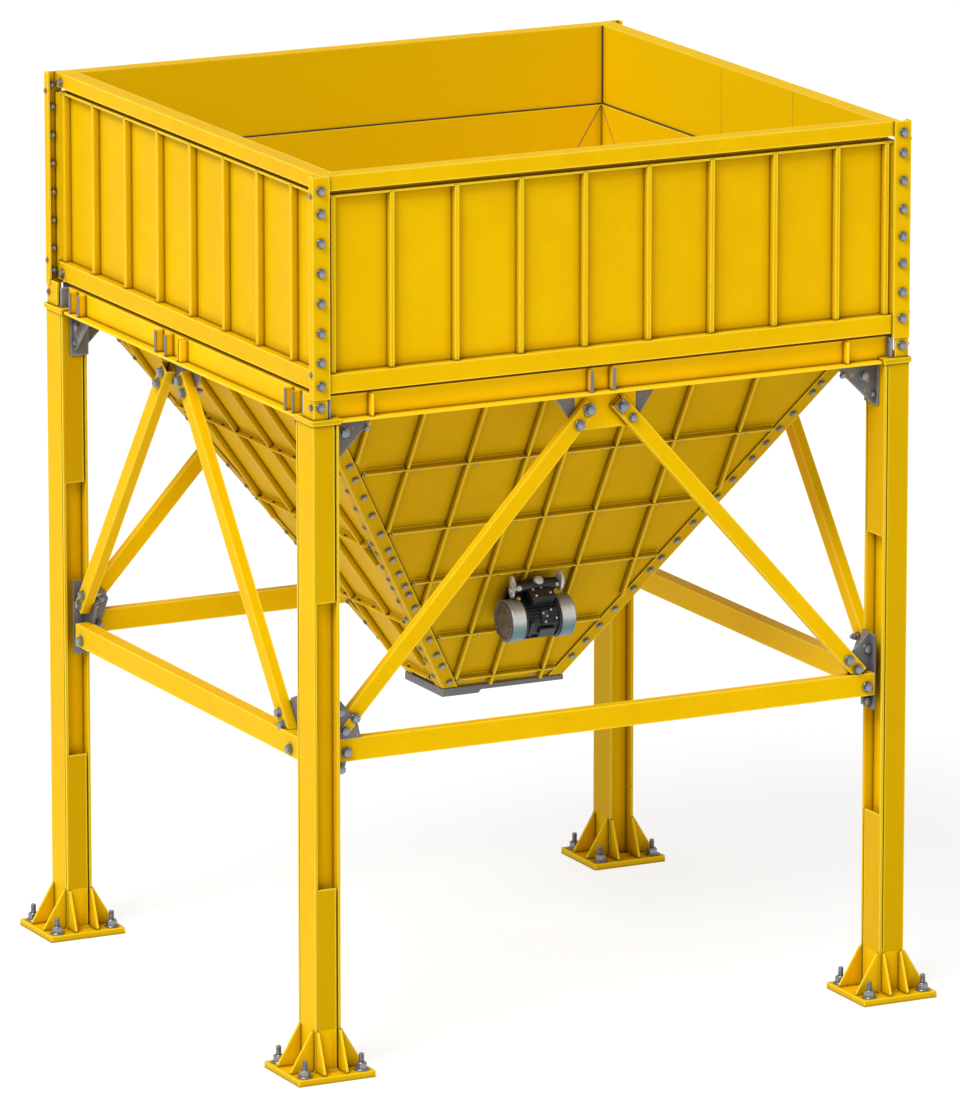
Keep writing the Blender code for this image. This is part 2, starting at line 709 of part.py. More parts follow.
PANELS = {}
for side in ("front", "back", "left", "right"):
    PANELS[side] = panel("hopper_panel_" + side, side)


# corner angles over the joints of the panels
def corner_angle(sx, sy):
    name = "hopper_angle_" + corner_name(sx, sy)
    fside = "front" if sy < 0 else "back"
    sside = "left" if sx < 0 else "right"
    mf, ms = panel_frame(fside)[0], panel_frame(sside)[0]
    nf = Vector((mf[0][2], mf[1][2], mf[2][2]))
    ns = Vector((ms[0][2], ms[1][2], ms[2][2]))
    p0 = corner_point(sx, sy, PYR_BOT_Z)
    p1 = corner_point(sx, sy, PYR_TOP_Z)
    e = (p1 - p0).normalized()
    # in-plane directions away from the corner line, square to it
    df = e.cross(nf)
    if df.dot(Vector((-sx, 0, 0))) < 0:
        df = -df
    ds = e.cross(ns)
    if ds.dot(Vector((0, -sy, 0))) < 0:
        ds = -ds

    def offset_corner(d):
        # in the plane square to e: point at distance d outside both planes
        a, b, c = nf.dot(nf), nf.dot(ns), ns.dot(ns)
        det = a * c - b * b
        s, t = (d * c - d * b) / det, (d * a - d * b) / det
        return nf * s + ns * t

    g0, g1 = GAP, GAP + ANGLE_T
    ci, co = offset_corner(g0), offset_corner(g1)
    pts = [ci, df * ANGLE_LEG + nf * g0, df * ANGLE_LEG + nf * g1, co,
           ds * ANGLE_LEG + ns * g1, ds * ANGLE_LEG + ns * g0]
    u = df
    v = e.cross(u).normalized()
    loop = [(p.dot(u), p.dot(v)) for p in pts]
    length = (p1 - p0).length + 0.3
    mid = (p0 + p1) / 2
    ob = plates(name, [([loop], length, frame_of(mid, u, v), 0.0)])
    slice_mesh(ob, (0, 0, 2.950), (0, 0, 1))
    slice_mesh(ob, (0, 0, PYR_BOT_Z + 0.001), (0, 0, -1))
    link_part(ob, "yellow")
    return ob


for sx, sy in CORNERS:
    corner_angle(sx, sy)

# outlet flange
fl = plates("outlet_flange", [([rect(OUT_CX - OUT_HX - 0.012, OUT_CX + OUT_HX + 0.012, -OUT_HY - 0.012, OUT_HY + 0.012),
                                rect(OUT_CX - 0.247, OUT_CX + 0.247, -0.128, 0.128)],
                               OUTLET_TOP - OUTLET_BOT,
                               frame_of((0, 0, (OUTLET_TOP + OUTLET_BOT) / 2), (1, 0, 0), (0, 1, 0)), 0.0)])
link_part(fl, "grey")
step = plates("outlet_flange_step", [([[(-0.075, OUTLET_BOT - 0.01), (-0.075 + 0.010, OUTLET_BOT),
                                       (-0.052, OUTLET_BOT + OUTLET_STEP), (0.6, OUTLET_BOT + OUTLET_STEP),
                                       (0.6, OUTLET_BOT - 0.01)]],
                                     1.0, frame_of((0, 0, 0), (1, 0, 0), (0, 0, 1)), 0.0)])
cut(fl, step)


# ----------------------------------------------------------------------------
# tie beams
# ----------------------------------------------------------------------------
def tie(name, side):
    along_x = side in ("front", "back")
    s = -1 if side in ("front", "left") else 1
    face = HY if along_x else HX
    near, far = (TIE_OUT, TIE_IN) if along_x else (SIDE_TIE_OUT, SIDE_TIE_IN)
    half = (HX - COL_X - TIE_END) if along_x else (HY - COL_Y - SIDE_TIE_END)
    t = TIE_WALL
    z0, z1 = TIE_Z if along_x else SIDE_TIE_Z
    d0, d1 = sorted((s * (face - near), s * (face - far)))
    loops = [rect(d0, d1, z0, z1), rect(d0 + t, d1 - t, z0 + t, z1 - t)]
    fr = frame_of((0, 0, 0), (0, 1, 0) if along_x else (1, 0, 0), (0, 0, 1))
    ob = plates(name, [(loops, 2 * half, fr, 0.0)])
    link_part(ob, "yellow")
    return ob


tie("tie_beam_front", "front")
tie("tie_beam_back", "back")
tie("tie_beam_left", "left")
tie("tie_beam_right", "right")

# ----------------------------------------------------------------------------
# braces: hollow sections in the plane of each side
# ----------------------------------------------------------------------------


def brace(name, side, top, low):
    """top and low: (level coordinate, height) of the centre line's ends."""
    along_x = side in ("front", "back")
    s = -1 if side in ("front", "left") else 1
    d = FRONT_BRACE_D if along_x else SIDE_BRACE_D
    face = HY if along_x else HX
    off = s * (face - sum(d) / 2)

    def pt(p):
        return Vector((p[0], off, p[1])) if along_x else Vector((off, p[0], p[1]))

    p, q = pt(top), pt(low)
    e = (q - p).normalized()
    n = Vector((0, 1, 0)) if along_x else Vector((1, 0, 0))
    w = BRACE_WALL
    a, b = (d[1] - d[0]) / 2, BRACE_W / 2
    loops = [rect(-a, a, -b, b), rect(-a + w, a - w, -b + w, b - w)]
    ob = plates(name, [(loops, (q - p).length, frame_of((p + q) / 2, n, e.cross(n)), 0.0)])
    # the foot is cut level over the tie beam
    slice_mesh(ob, (0, 0, (TIE_Z if along_x else SIDE_TIE_Z)[1] + GAP), (0, 0, -1))
    link_part(ob, "yellow")
    return ob


for side in ("front", "back"):
    brace("brace_%s_left" % side, side, (-0.085, 2.930), (-1.322, 1.592))
    brace("brace_%s_right" % side, side, (0.047, 2.935), (1.300, 1.537))
brace("brace_left_near", "left", (0.078, 2.920), (-1.025, 1.500))
brace("brace_left_far", "left", (0.238, 2.927), (1.205, 1.588))
brace("brace_right_near", "right", (-0.130, 2.925), (-1.205, 1.588))
brace("brace_right_far", "right", (0.010, 2.925), (1.205, 1.588))


# ----------------------------------------------------------------------------
# gussets
# ----------------------------------------------------------------------------
for sx, sy in CORNERS:
    cn = corner_name(sx, sy)
    # flat plates on the inner side of tie and brace; the front left one stands
    # in front of the brace, one part above the tie and one below
    top, low = TIE_Z[1] + 0.1753, TIE_Z[0] - 0.0703
    rim = 0.004
    foot = [(0.060, 1.440), (0.050, 1.420), (0.012, low), (rim, low)]
    narrow = [(rim, top), (0.016, top), (0.112, 1.622), (0.128, 1.590), (0.105, 1.530)] + foot
    broad = [(rim, top), (0.100, top), (0.270, 1.645), (0.300, 1.600), (0.300, 1.528), (0.120, 1.490)] + foot
    inner = TIE_IN + GAP
    items_x = [((inner, inner + 0.008), narrow)]
    if (sx, sy) == (-1, -1):
        tt, tb = TIE_Z[1] + GAP, TIE_Z[0] - GAP
        d = FRONT_BRACE_D[0] - GAP
        items_x = [((d - 0.009, d), [(rim, tt), (0.128, tt), (0.112, tt + 0.070), (0.030, top), (rim, top)]),
                   ((d - 0.009, d), [(rim, tb), (0.055, tb), (0.050, tb - 0.018), (0.012, low), (rim, low)])]
    inner = SIDE_TIE_IN + GAP
    items_y = [((inner, inner + 0.008), broad if (sx, sy) == (-1, -1) else narrow)]
    gusset = bracket("tie_gusset_" + cn, sx, sy, low, top, (0.120, 0.085), items_x, items_y)
    link_part(gusset, "grey")

# ----------------------------------------------------------------------------
# vibrator motor on the front panel
# ----------------------------------------------------------------------------
M_U = 0.0254         # middle of the motor along X
M_V = 0.5475         # up the slope
M_W = 0.146          # axis above the plate
M_BODY = 0.092       # half length of the body between the covers
M_END = 0.158        # half length over the covers
mf = panel_frame("front")[0]
motor_frame = mf @ Matrix.Translation((M_U, M_V, M_W))


def turned(name, radius, u0, u1, segs=40, bevel=0.0):
    """A plain round body along the motor's axis."""
    bm = bmesh.new()
    rot = Matrix.Rotation(math.radians(90), 4, "Y")
    bmesh.ops.create_cone(bm, cap_ends=True, segments=segs, radius1=radius, radius2=radius, depth=u1 - u0,
                          matrix=motor_frame @ Matrix.Translation(((u0 + u1) / 2, 0, 0)) @ rot)
    ob = mesh_object(name, bm)
    ob.data.shade_smooth()
    ob.data.set_sharp_from_angle(angle=math.radians(30))
    return ob


body = turned("motor_body", 0.082, -M_BODY, M_BODY)
link_part(body, "black")
feet = boxes("motor_feet", [((-0.080, 0.080), (-0.066, 0.066), (-M_W + 0.0303 + 0.010, -0.040))], motor_frame)
plate = boxes("motor_base_plate", [((-0.125, 0.125), (-0.115, 0.096), (-M_W + 0.0303, -M_W + 0.0303 + 0.012))], motor_frame)
box = boxes("motor_terminal_box", [((-0.048, 0.062), (0.060, 0.134), (-0.062, 0.006))], motor_frame)
web = boxes("motor_bar_web", [((-0.090, 0.090), (0.058, 0.112), (-0.098, -0.067))], motor_frame)
rail = boxes("motor_lifting_bar", [((-0.104, 0.104), (0.104, 0.150), (-0.099, -0.066))], motor_frame)
fuse(body, feet, plate, box, web, rail)

for nm, u0, u1 in (("motor_cover_left", -M_END, -M_BODY - GAP), ("motor_cover_right", M_BODY + GAP, M_END)):
    cov = turned(nm, 0.098, u0, u1, segs=48)
    link_part(cov, "steel")
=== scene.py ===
import math

import bmesh
import bpy
from mathutils import Matrix, Vector


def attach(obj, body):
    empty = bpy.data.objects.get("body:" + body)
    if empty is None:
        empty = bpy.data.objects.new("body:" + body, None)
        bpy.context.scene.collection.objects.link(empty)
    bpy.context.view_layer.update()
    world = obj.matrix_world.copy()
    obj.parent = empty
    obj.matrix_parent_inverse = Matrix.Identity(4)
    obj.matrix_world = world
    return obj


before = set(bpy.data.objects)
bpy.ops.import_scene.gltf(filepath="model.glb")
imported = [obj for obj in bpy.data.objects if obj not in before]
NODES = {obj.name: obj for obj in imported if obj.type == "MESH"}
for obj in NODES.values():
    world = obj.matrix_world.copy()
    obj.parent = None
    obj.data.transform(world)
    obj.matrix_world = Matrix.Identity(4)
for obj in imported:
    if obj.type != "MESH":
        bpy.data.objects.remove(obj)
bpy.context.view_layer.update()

# ----------------------------------------------------------------------------
# dimensions of the frame, in metres
# ----------------------------------------------------------------------------
HX, HY = 1.500, 1.425
Z_TOP = 4.100
COL_X, COL_Y = 0.125, 0.175
BASE_T = 0.030
PYR_BOT_Z, PYR_TOP_Z = 1.379, 2.985
PYR_TOP_X, PYR_TOP_Y = 1.357, 1.151
OUT_CX, OUT_HX, OUT_HY = 0.061, 0.300, 0.182
FRONT_BANDS = (2.640, 2.300, 2.010, 1.690, 1.440)
SIDE_BANDS = (2.615, 2.210, 1.770, 1.440)
FRONT_HRIBS = (-1.080, -0.808, -0.502, -0.204, -0.012, 0.245, 0.545, 0.876)
SIDE_HRIBS = (-0.90, -0.54, -0.18, 0.18, 0.54, 0.90)
CORNERS = [(-1, -1), (1, -1), (-1, 1), (1, 1)]


# ----------------------------------------------------------------------------
# materials
# ----------------------------------------------------------------------------
class Nodes:
    """A small helper that wires a node tree."""

    def __init__(self, name):
        self.mat = bpy.data.materials.new(name)
        self.mat.use_nodes = True
        self.nt = self.mat.node_tree
        self.nt.nodes.clear()
        self.out = self.nt.nodes.new("ShaderNodeOutputMaterial")
        self.bsdf = self.nt.nodes.new("ShaderNodeBsdfPrincipled")
        self.nt.links.new(self.bsdf.outputs["BSDF"], self.out.inputs["Surface"])
        tc = self.nt.nodes.new("ShaderNodeTexCoord")
        self.co = tc.outputs["Object"]

    def put(self, socket, value):
        if isinstance(value, bpy.types.NodeSocket):
            self.nt.links.new(value, socket)
        elif value is not None:
            if socket.type == "RGBA" and len(value) == 3:
                value = (*value, 1.0)
            socket.default_value = value

    def set(self, **kw):
        for k, v in kw.items():
            self.put(self.bsdf.inputs[k.replace("_", " ")], v)

    def noise(self, scale, detail=2.0, rough=0.5, co=None, distortion=0.0):
        n = self.nt.nodes.new("ShaderNodeTexNoise")
        n.inputs["Scale"].default_value = scale
        n.inputs["Detail"].default_value = detail
        n.inputs["Roughness"].default_value = rough
        n.inputs["Distortion"].default_value = distortion
        self.put(n.inputs["Vector"], co or self.co)
        return n.outputs["Fac"]

    def scaled(self, sx, sy, sz, co=None):
        n = self.nt.nodes.new("ShaderNodeMapping")
        n.inputs["Scale"].default_value = (sx, sy, sz)
        self.put(n.inputs["Vector"], co or self.co)
        return n.outputs["Vector"]

    def math(self, op, a, b=None, c=None, clamp=False):
        n = self.nt.nodes.new("ShaderNodeMath")
        n.operation = op
        n.use_clamp = clamp
        for s, v in zip(n.inputs, (a, b, c)):
            self.put(s, v)
        return n.outputs[0]

    def span(self, v, lo, hi, a=0.0, b=1.0, smooth=False):
        n = self.nt.nodes.new("ShaderNodeMapRange")
        n.clamp = True
        if smooth:
            n.interpolation_type = "SMOOTHSTEP"
        self.put(n.inputs["Value"], v)
        n.inputs["From Min"].default_value = lo
        n.inputs["From Max"].default_value = hi
        n.inputs["To Min"].default_value = a
        n.inputs["To Max"].default_value = b
        return n.outputs["Result"]

    def mix(self, fac, a, b, mode="MIX"):
        n = self.nt.nodes.new("ShaderNodeMix")
        n.data_type = "RGBA"
        n.blend_type = mode
        n.clamp_factor = True
        self.put(n.inputs[0], fac)
        self.put(n.inputs[6], a)
        self.put(n.inputs[7], b)
        return n.outputs[2]

    def xyz(self, v=None):
        n = self.nt.nodes.new("ShaderNodeSeparateXYZ")
        self.put(n.inputs[0], v or self.co)
        return n.outputs

    def bevel(self, radius, samples=4):
        n = self.nt.nodes.new("ShaderNodeBevel")
        n.samples = samples
        n.inputs["Radius"].default_value = radius
        return n.outputs["Normal"]

    def true_normal(self):
        return self.nt.nodes.new("ShaderNodeNewGeometry").outputs["True Normal"]

    def dot(self, a, b):
        n = self.nt.nodes.new("ShaderNodeVectorMath")
        n.operation = "DOT_PRODUCT"
        self.put(n.inputs[0], a)
        self.put(n.inputs[1], b)
        return n.outputs["Value"]

    def ao(self, distance, samples=4):
        n = self.nt.nodes.new("ShaderNodeAmbientOcclusion")
        n.samples = samples
        n.inputs["Distance"].default_value = distance
        return n.outputs["AO"]

    def bump(self, height, strength, distance, normal=None):
        n = self.nt.nodes.new("ShaderNodeBump")
        n.inputs["Strength"].default_value = strength
        n.inputs["Distance"].default_value = distance
        self.put(n.inputs["Height"], height)
        if normal is not None:
            self.put(n.inputs["Normal"], normal)
        return n.outputs["Normal"]


YELLOW = (0.830, 0.495, 0.0012)
YELLOW_DEEP = (0.775, 0.445, 0.0010)
YELLOW_LIGHT = (0.880, 0.545, 0.0020)
PAINTED_EDGE_HIGHLIGHT = (1.000, 0.810, 0.060)
CREVICE_SHADE = (0.240, 0.125, 0.0008)
GREY = (0.165, 0.166, 0.170)
GREY_LIGHT = (0.34, 0.34, 0.35)


def box_mask(n, terms):
    """1 where every (value socket, lo, hi) holds."""
    mask = None
    for v, lo, hi in terms:
        for t in ((n.math("GREATER_THAN", v, lo) if lo is not None else None),
                  (n.math("LESS_THAN", v, hi) if hi is not None else None)):
            if t is not None:
                mask = t if mask is None else n.math("MULTIPLY", mask, t)
    return mask


def paint(name, region=None, tone=1.0, ao_reach=0.050, edge=0.0110, shade=None, shade_colour=(0.560, 0.322, 0.0008)):
    """Sprayed yellow paint on steel plate, with painted shade in recesses and joints and painted highlights on open
    edges. region(n) gives a mask of bare grey primer; shade(n) gives a mask where shade_colour is painted in, as
    painted shade or painted light.
    """
    def t(c):
        return tuple(v * tone for v in c)
    n = Nodes(name)
    big = n.noise(0.9, 2.0, 0.5)
    mid = n.noise(7.0, 4.0, 0.6)
    fine = n.noise(60.0, 3.0, 0.6)
    # vertical drift of tone, as on plates that were sprayed upright
    runs = n.noise(6.0, 3.0, 0.55, n.scaled(1.0, 1.0, 0.10))
    col = n.mix(n.span(big, 0.32, 0.68), t(YELLOW), t(YELLOW_DEEP))
    col = n.mix(n.span(mid, 0.38, 0.72, 0.0, 0.45), col, t(YELLOW_LIGHT))
    col = n.mix(n.span(runs, 0.50, 0.76, 0.0, 0.45), col, t(YELLOW_DEEP))
    col = n.mix(n.span(fine, 0.58, 0.80, 0.0, 0.25), col, t(YELLOW_DEEP))
    # painted shade or painted light: where shade(n) holds, shade_colour is mixed in (a darker yellow on the columns, a
    # paler one inside the bin)
    if shade is not None:
        col = n.mix(shade(n), col, shade_colour)
    # painted shade: the yellow is darkened to brown in recesses and between parts, and nearly to black in tight
    # joints, where shade falls
    occl = n.ao(ao_reach, 2)
    close = n.ao(0.013, 3)
    col = n.mix(n.span(occl, 0.45, 0.92, 0.46, 0.0), col, CREVICE_SHADE)
    col = n.mix(n.span(close, 0.50, 0.92, 0.90, 0.0), col, (0.060, 0.030, 0.0008))
    # painted highlight: open convex edges are mixed towards a pale yellow; the same edge mask also places the worn
    # chips below
    soft = n.bevel(edge, 3)
    sharp = n.span(n.dot(soft, n.true_normal()), 0.88, 0.997, 1.0, 0.0)
    highlight_and_chip_edge = n.math("MULTIPLY", sharp, n.span(close, 0.80, 0.95))
    col = n.mix(n.math("MULTIPLY", highlight_and_chip_edge, 0.92), col, PAINTED_EDGE_HIGHLIGHT)
    # small chips on the edges, down to the grey primer
    chip_noise = n.noise(38.0, 5.0, 0.65)
    chips = n.math("MULTIPLY", highlight_and_chip_edge, n.span(chip_noise, 0.655, 0.675))
    col = n.mix(n.math("MULTIPLY", chips, 0.7), col, (0.17, 0.12, 0.085))
    rough = n.span(mid, 0.3, 0.7, 0.40, 0.52)
    if region is not None:
        mask = region(n)
        spots = n.span(n.noise(24.0, 4.0, 0.6), 0.60, 0.66)
        grey = n.mix(n.span(mid, 0.3, 0.7), GREY, (0.21, 0.21, 0.215))
        # painted shade in the primer's recesses, painted highlight on its open edges
        grey = n.mix(n.span(occl, 0.35, 0.95, 0.60, 0.0), grey, (0.03, 0.03, 0.032))
        grey = n.mix(n.math("MULTIPLY", highlight_and_chip_edge, 0.6), grey, (0.62, 0.62, 0.63))
        grey = n.mix(n.math("MULTIPLY", spots, 0.55), grey, YELLOW_DEEP)
        col = n.mix(mask, col, grey)
    n.set(Base_Color=col, Roughness=rough)
    b = n.bsdf.inputs
    b["Specular IOR Level"].default_value = 0.05
    b["Specular Tint"].default_value = (1.0, 0.74, 0.05, 1.0)
    grain = n.math("ADD", n.math("MULTIPLY", n.noise(240.0, 2.0), 0.25), n.math("MULTIPLY", fine, 0.4))
    wave = n.noise(3.2, 2.0, 0.5)
    nor = n.bump(wave, 0.16, 0.006)
    nor = n.bump(grain, 0.10, 0.0012, nor)
    n.put(b["Normal"], nor)
    return n.mat


def primer(name, base=GREY, spots_of_paint=True):
    n = Nodes(name)
    mid = n.noise(9.0, 4.0, 0.6)
    fine = n.noise(80.0, 3.0, 0.6)
    col = n.mix(n.span(mid, 0.32, 0.70), base, tuple(min(1.0, c * 1.32) for c in base))
    col = n.mix(n.span(fine, 0.55, 0.80, 0.0, 0.35), col, tuple(c * 0.75 for c in base))
    # painted shade: darkened towards a near-black in recesses and between parts
    occl = n.ao(0.05, 3)
    col = n.mix(n.span(occl, 0.30, 0.98, 0.60, 0.0), col, (0.02, 0.02, 0.022))
    soft = n.bevel(0.0035)
    # painted highlight: open edges are mixed towards a light grey
    sharp = n.span(n.dot(soft, n.true_normal()), 0.80, 0.985, 1.0, 0.0)
    edge = n.math("MULTIPLY", sharp, n.span(occl, 0.5, 0.85))
    col = n.mix(n.math("MULTIPLY", edge, 0.7), col, (0.60, 0.60, 0.62))
    if spots_of_paint:
        spots = n.span(n.noise(26.0, 5.0, 0.65), 0.64, 0.68)
        col = n.mix(n.math("MULTIPLY", spots, 0.8), col, (0.78, 0.42, 0.01))
    n.set(Base_Color=col, Roughness=n.span(mid, 0.3, 0.7, 0.42, 0.56))
    n.bsdf.inputs["Metallic"].default_value = 0.25
    nor = n.bump(fine, 0.18, 0.0010, soft)
    n.put(n.bsdf.inputs["Normal"], nor)
    return n.mat


def metal(name, base, rough=(0.26, 0.42), metallic=1.0, scale=(40.0, 40.0, 40.0), grain=0.12, ao_shade=(0.05, 0.05, 0.055), ao_reach=0.02, edge_r=0.0012):
    n = Nodes(name)
    co = n.scaled(*[s / 40.0 for s in scale])
    mid = n.noise(30.0, 4.0, 0.6, co)
    fine = n.noise(180.0, 3.0, 0.6, co)
    col = n.mix(n.span(mid, 0.3, 0.72), tuple(c * 0.80 for c in base), tuple(min(1.0, c * 1.15) for c in base))
    col = n.mix(n.span(fine, 0.55, 0.80, 0.0, 0.3), col, tuple(c * 0.6 for c in base))
    # painted shade: darkened towards a near-black in recesses and between parts
    occl = n.ao(ao_reach)
    col = n.mix(n.span(occl, 0.25, 0.95, 0.75, 0.0), col, ao_shade)
    soft = n.bevel(edge_r)
    n.set(Base_Color=col, Roughness=n.span(mid, 0.3, 0.7, rough[0], rough[1]))
    n.bsdf.inputs["Metallic"].default_value = metallic
    n.put(n.bsdf.inputs["Normal"], n.bump(fine, grain, 0.0006, soft))
    return n.mat


def black_paint(name, base=(0.009, 0.010, 0.014), light=(0.020, 0.022, 0.029)):
    n = Nodes(name)
    mid = n.noise(22.0, 4.0, 0.6)
    fine = n.noise(160.0, 3.0, 0.6)
    col = n.mix(n.span(mid, 0.32, 0.72), base, light)
    # painted shade in recesses
    occl = n.ao(0.02)
    col = n.mix(n.span(occl, 0.25, 0.95, 0.7, 0.0), col, (0.004, 0.004, 0.005))
    soft = n.bevel(0.0022)
    # painted highlight: open edges are mixed towards a mid grey
    sharp = n.span(n.dot(soft, n.true_normal()), 0.82, 0.985, 1.0, 0.0)
    col = n.mix(n.math("MULTIPLY", sharp, 0.45), col, (0.16, 0.165, 0.175))
    n.set(Base_Color=col, Roughness=n.span(mid, 0.3, 0.7, 0.30, 0.46))
    n.put(n.bsdf.inputs["Normal"], n.bump(fine, 0.22, 0.0008, soft))
    return n.mat


def ring_region(along_x):
    def region(n):
        x, y, z = n.xyz()
        ax, ay = n.math("ABSOLUTE", x), n.math("ABSOLUTE", y)
        c, other = (ax, ay) if along_x else (ay, ax)
        if along_x:
            wing = box_mask(n, [(c, 0.1535, 1.0), (z, None, 2.9875)])
            ends = box_mask(n, [(c, 1.4085, None), (z, 3.0105, None)])
        else:
            wing = box_mask(n, [(c, None, 0.9), (z, None, 2.9875)])
            ends = box_mask(n, [(c, 1.2830, None), (z, 3.0105, None)])
        return n.math("MAXIMUM", wing, ends)
    return region


def column_painted_shade(n):
    """Painted shade: the cover plates on the front and back are mixed towards a darker yellow than the sides, more
    strongly towards the bottom; so are the inner faces, and less the inner flanks.
    """
    x, y, z = n.xyz()
    ax, ay = n.math("ABSOLUTE", x), n.math("ABSOLUTE", y)
    face = n.math("MULTIPLY", n.math("GREATER_THAN", ay, HY - 0.0008), n.span(z, 0.2, 3.0, 0.85, 0.60))
    inner = n.math("MULTIPLY", n.math("LESS_THAN", ay, HY - COL_Y + 0.0008), 0.95)
    flank = n.math("MULTIPLY", n.math("LESS_THAN", ax, HX - COL_X + 0.0008), 0.50)
    low = n.math("GREATER_THAN", z, 0.22)
    return n.math("MULTIPLY", n.math("MAXIMUM", face, n.math("MAXIMUM", inner, flank)), low)


def column_region(n):
    """The knee gussets and their back plate under the cap stay grey."""
    x, y, z = n.xyz()
    ax, ay = n.math("ABSOLUTE", x), n.math("ABSOLUTE", y)
    low = box_mask(n, [(z, 2.780, 2.9858)])
    inside = n.math("MAXIMUM", n.math("LESS_THAN", ax, HX - COL_X - 0.0004),
                    n.math("LESS_THAN", ay, HY - COL_Y - 0.0004))
    return n.math("MULTIPLY", low, inside)


PAINT = paint("yellow_paint")
# painted shade: the hopper panels get darker copies of the yellow (tone 0.78, the left and right panels 0.92),
# standing in for the shade on their downward faces
PAINT_HOPPER_SHADED = paint("yellow_paint_hopper_painted_shade", tone=0.78)
PAINT_HOPPER_SIDE_SHADED = paint("yellow_paint_hopper_side_painted_shade", tone=0.92)


def wall_inside_painted_light(n):
    """Painted light: inside, the plates are painted a little paler and brighter than outside, standing in for the
    light inside the bin.
    """
    x, y, z = n.xyz()
    inx = n.math("LESS_THAN", n.math("ABSOLUTE", x), 1.372)
    iny = n.math("LESS_THAN", n.math("ABSOLUTE", y), 1.336)
    return n.math("MULTIPLY", n.math("MULTIPLY", inx, iny), n.math("LESS_THAN", z, 4.0985))


def wall_paint(name):
    # painted light: the inner faces get a paler, brighter yellow
    return paint(name, shade=wall_inside_painted_light, shade_colour=(0.880, 0.575, 0.0012))



PAINT_BOLD = paint("yellow_paint_small_parts", ao_reach=0.03, edge=0.003)
SEAM = primer("open_seams", (0.055, 0.034, 0.012), False)
PRIMER = primer("grey_primer")
PRIMER_CLEAN = primer("grey_steel_plate", (0.155, 0.158, 0.165), False)
BOLT = metal("zinc_bolts", (0.300, 0.312, 0.335), (0.22, 0.36), metallic=0.75, ao_reach=0.010)
ANCHOR = metal("anchor_steel", (0.30, 0.31, 0.325), (0.24, 0.40), metallic=0.7, ao_reach=0.012)


def machined_painted_reflection(name):
    """Turned steel skirts, with painted reflection: bands of reflected sky and ground painted into the colour by
    height, with brushing over them.
    """
    n = Nodes(name)
    x, y, z = n.xyz()
    up = n.math("ADD", n.math("SUBTRACT", n.math("MULTIPLY", z, 1.0), 1.7726), n.math("MULTIPLY", n.noise(3.0, 2.0), 0.004))
    # painted reflection: the colour runs by height from blue-grey and teal to a white band of painted highlight and
    # back to grey
    ramp = n.nt.nodes.new("ShaderNodeValToRGB")
    n.put(ramp.inputs["Fac"], n.span(up, -0.098, 0.098))
    cr = ramp.color_ramp
    stops = ((0.00, (0.20, 0.26, 0.31)), (0.20, (0.13, 0.22, 0.25)), (0.34, (0.10, 0.26, 0.26)), (0.46, (0.30, 0.38, 0.39)),
             (0.60, (0.80, 0.83, 0.84)), (0.72, (0.92, 0.93, 0.94)), (0.86, (0.45, 0.48, 0.52)), (1.00, (0.24, 0.26, 0.29)))
    while len(cr.elements) < len(stops):
        cr.elements.new(0.5)
    for el, (pos, c) in zip(cr.elements, stops):
        el.position = pos
        el.color = (*c, 1.0)
    brush = n.noise(24.0, 3.0, 0.6, n.scaled(60.0, 1.0, 1.0))
    col = n.mix(n.span(brush, 0.35, 0.7, 0.0, 0.25), ramp.outputs["Color"], (0.16, 0.18, 0.20))
    n.set(Base_Color=col, Roughness=n.span(brush, 0.3, 0.7, 0.26, 0.38))
    n.bsdf.inputs["Metallic"].default_value = 0.30
    n.put(n.bsdf.inputs["Normal"], n.bump(brush, 0.08, 0.0004, n.bevel(0.002, 3)))
    return n.mat


COVER_PAINTED_REFLECTION = machined_painted_reflection("machined_covers_painted_reflection")
CAST = metal("clamp_castings", (0.66, 0.68, 0.72), (0.20, 0.34), metallic=0.35, grain=0.4, ao_shade=(0.02, 0.02, 0.024))
BRONZE = metal("cover_discs", (0.135, 0.125, 0.115), (0.30, 0.42), metallic=0.4)
ZINC = metal("yellow_zinc", (0.62, 0.38, 0.06), (0.22, 0.36), metallic=0.7)
BLACK = black_paint("black_paint")
BLACK_SMOOTH = black_paint("dark_grey_plate", (0.030, 0.033, 0.038), (0.046, 0.050, 0.057))
# painted shade: near-black for the insides of the long holes
HOLE_SHADE = black_paint("holes_painted_shade", (0.006, 0.005, 0.003), (0.014, 0.011, 0.006))

